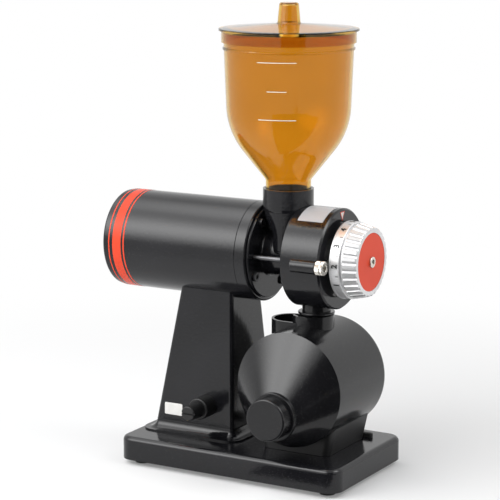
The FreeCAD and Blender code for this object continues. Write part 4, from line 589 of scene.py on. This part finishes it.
class GRINDER_OT_finishes(bpy.types.Operator):
    """Give every piece of the grinder its finish"""

    bl_idname = "grinder.finishes"
    bl_label = "Finishes"

    def execute(self, context):
        settings = context.scene.grinder_finish
        peel = settings.peel_depth
        finishes = (
            (CASTINGS, gloss_black("black_enamel", settings.enamel, peel, dust=0.25, roughness=0.13)),
            (MOULDINGS, gloss_black("black_moulding", settings.moulding, peel * 0.6,
                                    dust=0.2, roughness=0.16)),
            (FITTINGS, gloss_black("dull_fitting", settings.fitting, peel, dust=0.15, roughness=0.38)),
            (CLEAR, amber_clear(settings.amber)),
            (RED, red_gloss(settings.red)),
            (TURNED, turned_metal("turned_aluminium", settings.silver, roughness=0.34, lines=2400)),
            (PLATED, plain_metal("bright_plate", settings.nickel, roughness=0.18)),
            (BLACKENED, plain_metal("blackened_steel", settings.dark_steel, roughness=0.3)),
            (GROUND, plain_metal("ground_steel", settings.steel, roughness=0.3)),
            (IRON, laminated(settings.steel)),
            (("stator_windings",), wound_copper(settings.copper)),
            (RUBBER, matt_rubber(settings.rubber)),
            (("fuse_cartridge",), clear_glass()),
        )
        for names, material in finishes:
            for name in names:
                NODES[name].data.materials.clear()
                NODES[name].data.materials.append(material)
        return {"FINISHED"}


class GRINDER_OT_dial_numbers(bpy.types.Operator):
    """Print the settings and half-step marks round the number ring"""

    bl_idname = "grinder.dial_numbers"
    bl_label = "Dial numbers"

    def digit(self, number, settings):
        """Flat digit as a bmesh, its top towards the pointer."""
        text = bpy.data.curves.new("digit", "FONT")
        text.body = str(number)
        text.size = settings.size * settings.font
        text.align_x = "CENTER"
        text.align_y = "CENTER"
        text.offset = settings.weight
        text.extrude = settings.depth / 2
        holder = bpy.data.objects.new("digit", text)
        bpy.context.scene.collection.objects.link(holder)
        bpy.context.view_layer.update()
        evaluated = holder.evaluated_get(bpy.context.evaluated_depsgraph_get())
        flat = bpy.data.meshes.new_from_object(evaluated)
        shape = bmesh.new()
        shape.from_mesh(flat)
        bpy.data.objects.remove(holder)
        bpy.data.curves.remove(text)
        bpy.data.meshes.remove(flat)
        quarter_turn(shape, "Z")
        for cut in range(settings.slices):
            height = (cut - (settings.slices - 1) / 2) * settings.size / settings.slices
            bmesh.ops.bisect_plane(shape, geom=[*shape.verts, *shape.edges, *shape.faces],
                                   plane_co=(0, height, 0), plane_no=(0, 1, 0))
        return shape

    def execute(self, context):
        settings = context.scene.grinder_dial
        ink = print_ink("dial_ink", context.scene.grinder_finish.ink)
        radius = (RING_HIGH.z - RING_LOW.z) / 2 + settings.depth / 2 - settings.sink
        middle = RING_LOW.x + (RING_HIGH.x - RING_LOW.x) * settings.across
        tick_x = RING_HIGH.x - settings.tick / 2 - settings.tick_inset
        pitch = settings.step * radius
        whole = bmesh.new()
        for number in range(1, settings.numbers + 1):
            around = (number - settings.at_pointer) * pitch
            shape = self.digit(number, settings)
            bmesh.ops.translate(shape, verts=shape.verts, vec=(middle, around, 0))
            if number < settings.numbers:
                tick = bmesh.ops.create_cube(shape, size=1)["verts"]
                bmesh.ops.scale(shape, verts=tick, vec=(settings.tick, settings.tick_width, settings.depth))
                bmesh.ops.translate(shape, verts=tick, vec=(tick_x, around + pitch / 2, 0))
            wrap_on_ring(shape, radius)
            join_into(whole, shape)
        tidy_normals(whole)
        finish_mesh("dial_numbers", whole, ink, "dial")
        return {"FINISHED"}


class GRINDER_OT_pointer(bpy.types.Operator):
    """Print the triangle that the dial is read against on the front cover"""

    bl_idname = "grinder.pointer"
    bl_label = "Setting pointer"

    def execute(self, context):
        settings = context.scene.grinder_dial
        finish = context.scene.grinder_finish
        half = settings.pointer_width / 2
        top = DRUM_HIGH.z - settings.pointer_inset
        corners = ((-half, top), (half, top), (0, top - settings.pointer_height))
        red = print_ink("pointer_red", shade(finish.red, 0.9))
        white = print_ink("pointer_white", finish.mark)
        for name, ink, is_rim in (("pointer_mark", red, True), ("pointer_centre", white, False)):
            shape = bmesh.new()
            middle = shape.faces.new([shape.verts.new((COVER_HIGH.x, AXIS_Y + y, z)) for y, z in corners])
            middle.normal_update()
            inset = bmesh.ops.inset_individual(shape, faces=[middle], thickness=settings.pointer_line,
                                               use_even_offset=True)
            bmesh.ops.delete(shape, geom=[middle] if is_rim else inset["faces"], context="FACES")
            push_out(shape, ALONG * settings.pointer_rise)
            finish_mesh(name, shape, ink, "frame")
        return {"FINISHED"}


class GRINDER_OT_plates(bpy.types.Operator):
    """Fix the bare plate on the burr chamber and the bare label on the pillar"""

    bl_idname = "grinder.plates"
    bl_label = "Bare plates"

    def execute(self, context):
        settings = context.scene.grinder_plates
        finish = context.scene.grinder_finish
        radius = DRUM_HIGH.z - AXIS_Z + SKIN
        end = Vector((DRUM_HIGH.x + settings.top_reach, AXIS_Y, AXIS_Z + radius))
        start = end - ALONG * settings.top_length
        shape = swept_strip(start, end, AXIS, ALONG, settings.top_turn, settings.top_steps)
        lean = Matrix.Rotation(settings.top_start, 3, "X")
        bmesh.ops.rotate(shape, verts=shape.verts, cent=AXIS, matrix=lean)
        corners = [vert for vert in shape.verts if len(vert.link_edges) == 2]
        round_corners(shape, corners, settings.corner)
        thicken(shape, settings.thickness)
        finish_mesh("chamber_plate", shape, brushed_plate(finish.plate), "frame")

        along, up = settings.label_place
        place = surface_hit("pillar", Vector((along, PILLAR_LOW.y - PROBE, up)), -NEAR)
        shape = rectangle(settings.label_width, settings.label_height)
        quarter_turn(shape, "X")
        bmesh.ops.translate(shape, verts=shape.verts, vec=place + NEAR * SKIN)
        round_corners(shape, shape.verts[:], settings.corner)
        push_out(shape, NEAR * settings.thickness)
        finish_mesh("pillar_label", shape, paper_label(finish.mark), "frame")
        return {"FINISHED"}


class GRINDER_OT_level_lines(bpy.types.Operator):
    """Print the fill lines on the outside of the hopper"""

    bl_idname = "grinder.level_lines"
    bl_label = "Hopper lines"

    def execute(self, context):
        settings = context.scene.grinder_plates
        white = print_ink("line_white", context.scene.grinder_finish.mark)
        reach = HOPPER_HIGH.x - HOPPER_LOW.x
        whole = bmesh.new()
        for height, turn in zip(settings.line_heights, settings.line_turns):
            first = settings.line_heading - turn / 2
            out = Vector((math.cos(first), math.sin(first), 0))
            ends = []
            for z in (height - settings.line_width / 2, height + settings.line_width / 2):
                place = surface_hit("hopper", HOPPER_AXIS + UP * z + out * reach, -out)
                ends.append(place + out * SKIN)
            shape = swept_strip(*ends, HOPPER_AXIS, UP, turn, settings.line_steps)
            thicken(shape, settings.line_depth)
            join_into(whole, shape)
        finish_mesh("hopper_lines", whole, white, "hopper")
        return {"FINISHED"}


class GRINDER_OT_throat_rib(bpy.types.Operator):
    """Carry the throat down in front of the feed barrel"""

    bl_idname = "grinder.throat_rib"
    bl_label = "Throat rib"

    def outline(self, settings, rise):
        """Front arc of the rib at a height over the shaft, from wall to wall."""
        taper = max(0.0, (rise - settings.neck) / (settings.top - settings.neck))
        ease = taper * taper * (3 - 2 * taper)
        radius = settings.radius + (settings.collar - settings.radius) * ease
        front = settings.front + (settings.collar - settings.front) * ease
        wall = math.sqrt(max(settings.barrel ** 2 - rise ** 2, 0))
        back = max(wall, settings.bore + (settings.funnel - settings.bore) * taper)
        ending = min(1.0, (rise - settings.foot) / settings.foot_round)
        front = back + (front - back) * math.sqrt(max(1 - (1 - ending) ** 2, settings.foot_edge))
        first = math.asin(max(0.0, 1 - (front - back) / radius))
        for step in range(settings.steps + 1):
            turn = first + (math.pi - 2 * first) * step / settings.steps
            across = settings.shift * (1 - ease) + radius * math.cos(turn)
            reach = front - radius + radius * math.sin(turn)
            yield HOPPER_AXIS + Vector((across, -reach, AXIS_Z + rise))

    def execute(self, context):
        settings = context.scene.grinder_rib
        shape = bmesh.new()
        loops = []
        for row in range(settings.rows + 1):
            rise = settings.foot + (settings.top - settings.foot) * row / settings.rows
            verts = [shape.verts.new(place) for place in self.outline(settings, rise)]
            loops.append([shape.edges.new(pair) for pair in zip(verts, verts[1:] + verts[:1])])
        for low, high in zip(loops, loops[1:]):
            bmesh.ops.bridge_loops(shape, edges=low + high)
        for end in (loops[0], loops[-1]):
            bmesh.ops.edgeloop_fill(shape, edges=end)
        tidy_normals(shape)
        for face in shape.faces:
            face.smooth = True
        for edge in shape.edges:
            edge.smooth = edge.calc_face_angle(0) < SMOOTH_ANGLE
        finish_mesh("throat_rib", shape, NODES["feed_housing"].active_material, "frame")
        return {"FINISHED"}


class GRINDER_OT_thumb_screws(bpy.types.Operator):
    """Make the two cover screws with knurled heads and hexagon sockets"""

    bl_idname = "grinder.thumb_screws"
    bl_label = "Thumb screws"

    def loop_on(self, shape, edges, x, radius):
        """Extrude a closed loop to a new station and radius."""
        grown = bmesh.ops.extrude_edge_only(shape, edges=edges)
        for vert in verts_of(grown):
            turn = math.atan2(vert.co.z, vert.co.y)
            reach = radius(turn) if callable(radius) else radius
            vert.co = (x, reach * math.cos(turn), reach * math.sin(turn))
        return [item for item in grown["geom"] if isinstance(item, bmesh.types.BMEdge)]

    def execute(self, context):
        settings = context.scene.grinder_screws
        head_radius = (THUMB_HIGH.z - THUMB_LOW.z) / 2
        offset = (THUMB_HIGH.y - THUMB_LOW.y) / 2 - head_radius
        centre_y = (THUMB_HIGH.y + THUMB_LOW.y) / 2
        end_x = THUMB_HIGH.x
        seat_x = COVER_LOW.x + (COVER_HIGH.x - COVER_LOW.x) * settings.seat
        segments = settings.ridges * 2
        step = 2 * math.pi / segments

        def knurl(turn):
            return head_radius - settings.ridge_depth * (round(turn / step) % 2)

        def hexagon(turn):
            side = math.radians(60)
            return settings.socket * math.cos(side / 2) / math.cos(turn % side - side / 2)

        def along(part):
            return seat_x + (end_x - seat_x) * part

        chamfer = settings.chamfer
        neck = head_radius - settings.neck_depth
        profile = (
            (THUMB_LOW.x + chamfer, settings.shank),
            (seat_x, settings.shank),
            (seat_x, head_radius - chamfer),
            (seat_x + chamfer, knurl),
            (along(settings.neck_start), knurl),
            (along(settings.neck_start + settings.neck_slope), neck),
            (along(settings.neck_end - settings.neck_slope), neck),
            (along(settings.neck_end), knurl),
            (end_x - chamfer, knurl),
            (end_x, head_radius - chamfer),
            (end_x, settings.socket * settings.socket_lead),
            (end_x - chamfer / 2, hexagon),
            (end_x - settings.socket_depth, hexagon),
        )
        whole = bmesh.new()
        for side in (-1, 1):
            shape = bmesh.new()
            bmesh.ops.create_circle(shape, cap_ends=True, segments=segments, radius=settings.shank - chamfer)
            quarter_turn(shape, "Y")
            bmesh.ops.translate(shape, verts=shape.verts, vec=(THUMB_LOW.x, 0, 0))
            edges = shape.edges[:]
            for x, radius in profile:
                edges = self.loop_on(shape, edges, x, radius)
            bmesh.ops.holes_fill(shape, edges=edges, sides=0)
            bmesh.ops.translate(shape, verts=shape.verts, vec=(0, centre_y + side * offset, AXIS_Z))
            tidy_normals(shape)
            join_into(whole, shape)
        nickel = plain_metal("screw_nickel", context.scene.grinder_finish.nickel, roughness=0.2)
        piece = finish_mesh("knurled_screws", whole, nickel, "frame")
        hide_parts("thumb_screws")
        return {"FINISHED"}


class GRINDER_OT_stage(bpy.types.Operator):
    """Set up the camera, the pale floor, the soft lamps and the surroundings"""

    bl_idname = "grinder.stage"
    bl_label = "Stage"

    def seen(self, graph):
        """1 where the surroundings are seen straight, in a reflection or through something clear."""
        straight, mirrored, through = (graph.add("ShaderNodeLightPath", {}, {}, name) for name in
                                       ("Is Camera Ray", "Is Glossy Ray", "Is Transmission Ray"))
        return (straight + mirrored + through).limit()

    def around(self, middle, heading, rise, distance):
        """Point at a distance from the middle, by heading and height above the horizon in degrees."""
        heading, rise = math.radians(heading), math.radians(rise)
        flat = Vector((math.cos(heading), math.sin(heading), 0))
        return middle + distance * (flat * math.cos(rise) + UP * math.sin(rise))

    def floor(self, settings):
        shape = bmesh.new()
        bmesh.ops.create_grid(shape, x_segments=4, y_segments=4, size=FLOOR_REACH)
        mesh = new_mesh("floor", shape)
        floor = bpy.data.objects.new("floor", mesh)
        bpy.context.scene.collection.objects.link(floor)
        graph = new_graph("pale_floor")
        grain = graph.noise(scale=300, detail=2)
        tint = graph.blend(grain * 0.2, settings.floor, shade(settings.floor, 0.97))
        diffuse = graph.add("ShaderNodeBsdfDiffuse", {}, {"Color": tint})
        glow = graph.add("ShaderNodeEmission", {}, {"Color": WHITE, "Strength": 1.0})
        away = graph.add("ShaderNodeVectorMath", {"operation": "LENGTH"}, {0: graph.place()}, "Value")
        whiter = away.spread(settings.fade_start, settings.fade_end) * (1 - settings.near_white)
        lit = self.seen(graph) * (settings.near_white + whiter)
        graph.output(graph.add("ShaderNodeMixShader", {}, {0: lit, 1: diffuse, 2: glow}))
        mesh.materials.append(graph.owner)

    def surroundings(self, settings):
        world = bpy.data.worlds.new("studio")
        bpy.context.scene.world = world
        graph = Graph(world)
        light = graph.add("ShaderNodeBackground", {}, {"Color": FILL_TINT, "Strength": settings.fill})
        white = graph.add("ShaderNodeBackground", {}, {"Color": WHITE, "Strength": 1.0})
        graph.output(graph.add("ShaderNodeMixShader", {}, {0: self.seen(graph), 1: light, 2: white}))

    def turned_to(self, name, data, place, aim, front):
        """Object at a place, its front towards a point."""
        thing = bpy.data.objects.new(name, data)
        thing.location = place
        thing.rotation_euler = (Vector(aim) - Vector(place)).to_track_quat(front, "Y").to_euler()
        bpy.context.scene.collection.objects.link(thing)
        return thing

    def lamp(self, name, place, aim, width, height, brightness):
        """Soft lamp that fades towards its edges."""
        data = bpy.data.lights.new(name, "AREA")
        data.shape = "RECTANGLE"
        data.size = width
        data.size_y = height
        data.energy = brightness * width * height * LAMP_POWER
        graph = Graph(data)
        where = graph.add("ShaderNodeNewGeometry", {}, {}, "Parametric")
        spot = graph.add("ShaderNodeSeparateXYZ", {}, {0: where}).socket.node
        sides = [(Value(graph, spot.outputs[axis]) - 0.5).size() for axis in "XY"]
        across, up = (side.spread(start=0.5, end=0) for side in sides)
        graph.output(graph.add("ShaderNodeEmission", {}, {"Color": across * up}))
        self.turned_to(name, data, place, aim, "-Z")

    def flag(self, name, place, aim, width, height):
        """Dark card on the camera's side, which is seen only in reflections."""
        mesh = new_mesh(name, rectangle(width, height))
        graph = new_graph(name)
        weave = graph.noise(scale=400, detail=2)
        tint = graph.blend(weave, CARD_BLACK, shade(CARD_BLACK, 1.75))
        graph.output(graph.add("ShaderNodeBsdfDiffuse", {}, {"Color": tint}))
        mesh.materials.append(graph.owner)
        card = self.turned_to(name, mesh, place, aim, "Z")
        card.visible_camera = False
        card.visible_diffuse = False
        card.visible_transmission = False
        card.visible_shadow = False

    def execute(self, context):
        settings = context.scene.grinder_stage
        data = bpy.data.cameras.new("view")
        data.lens = settings.lens
        data.sensor_width = 36
        data.clip_start = 0.05
        data.clip_end = 50
        camera = self.turned_to("view", data, settings.camera, settings.target, "-Z")
        context.scene.camera = camera
        self.floor(settings)
        self.surroundings(settings)
        for name, (heading, rise, width, height) in LAMPS.items():
            place = self.around(LAMP_MIDDLE, heading, rise, LAMP_DISTANCE)
            self.lamp(name + "_lamp", place, LAMP_MIDDLE, width, height, getattr(settings, name))
        hanging = self.around(LAMP_MIDDLE, *CURTAIN_PLACE)
        self.flag("dark_curtain", hanging, LAMP_MIDDLE, *CURTAIN_SIZE)
        lying = self.around(UP * SKIN, *CLOTH_PLACE)
        self.flag("dark_cloth", lying, lying + UP, *CLOTH_SIZE)
        context.scene.view_settings.view_transform = "Standard"
        return {"FINISHED"}


class GRINDER_PT_dressing(bpy.types.Panel):
    """Sizes, colours and the steps that dress the grinder"""

    bl_label = "Grinder"
    bl_idname = "GRINDER_PT_dressing"
    bl_space_type = "VIEW_3D"
    bl_region_type = "UI"
    bl_category = "Grinder"

    def draw(self, context):
        for operator in STEPS:
            self.layout.operator(operator.bl_idname)
        for name in SETTINGS:
            settings = getattr(context.scene, name)
            column = self.layout.column()
            for prop in settings.__annotations__:
                column.prop(settings, prop)


SETTINGS = {
    "grinder_finish": FinishSettings,
    "grinder_dial": DialSettings,
    "grinder_screws": ScrewSettings,
    "grinder_plates": PlateSettings,
    "grinder_rib": RibSettings,
    "grinder_stage": StageSettings,
}
STEPS = (
    GRINDER_OT_finishes, GRINDER_OT_dial_numbers, GRINDER_OT_pointer, GRINDER_OT_plates,
    GRINDER_OT_level_lines, GRINDER_OT_throat_rib, GRINDER_OT_thumb_screws, GRINDER_OT_stage,
)


def register():
    for group in (*SETTINGS.values(), *STEPS, GRINDER_PT_dressing):
        bpy.utils.register_class(group)
    for name, group in SETTINGS.items():
        setattr(bpy.types.Scene, name, PointerProperty(type=group))


def unregister():
    for name in SETTINGS:
        delattr(bpy.types.Scene, name)
    for group in reversed((*SETTINGS.values(), *STEPS, GRINDER_PT_dressing)):
        bpy.utils.unregister_class(group)


def main():
    register()
    bpy.context.view_layer.update()
    bpy.ops.grinder.finishes()
    bpy.ops.grinder.dial_numbers()
    bpy.ops.grinder.pointer()
    bpy.ops.grinder.plates()
    bpy.ops.grinder.level_lines()
    bpy.ops.grinder.throat_rib()
    bpy.ops.grinder.thumb_screws()
    bpy.ops.grinder.stage()


if __name__ == "__main__":
    main()
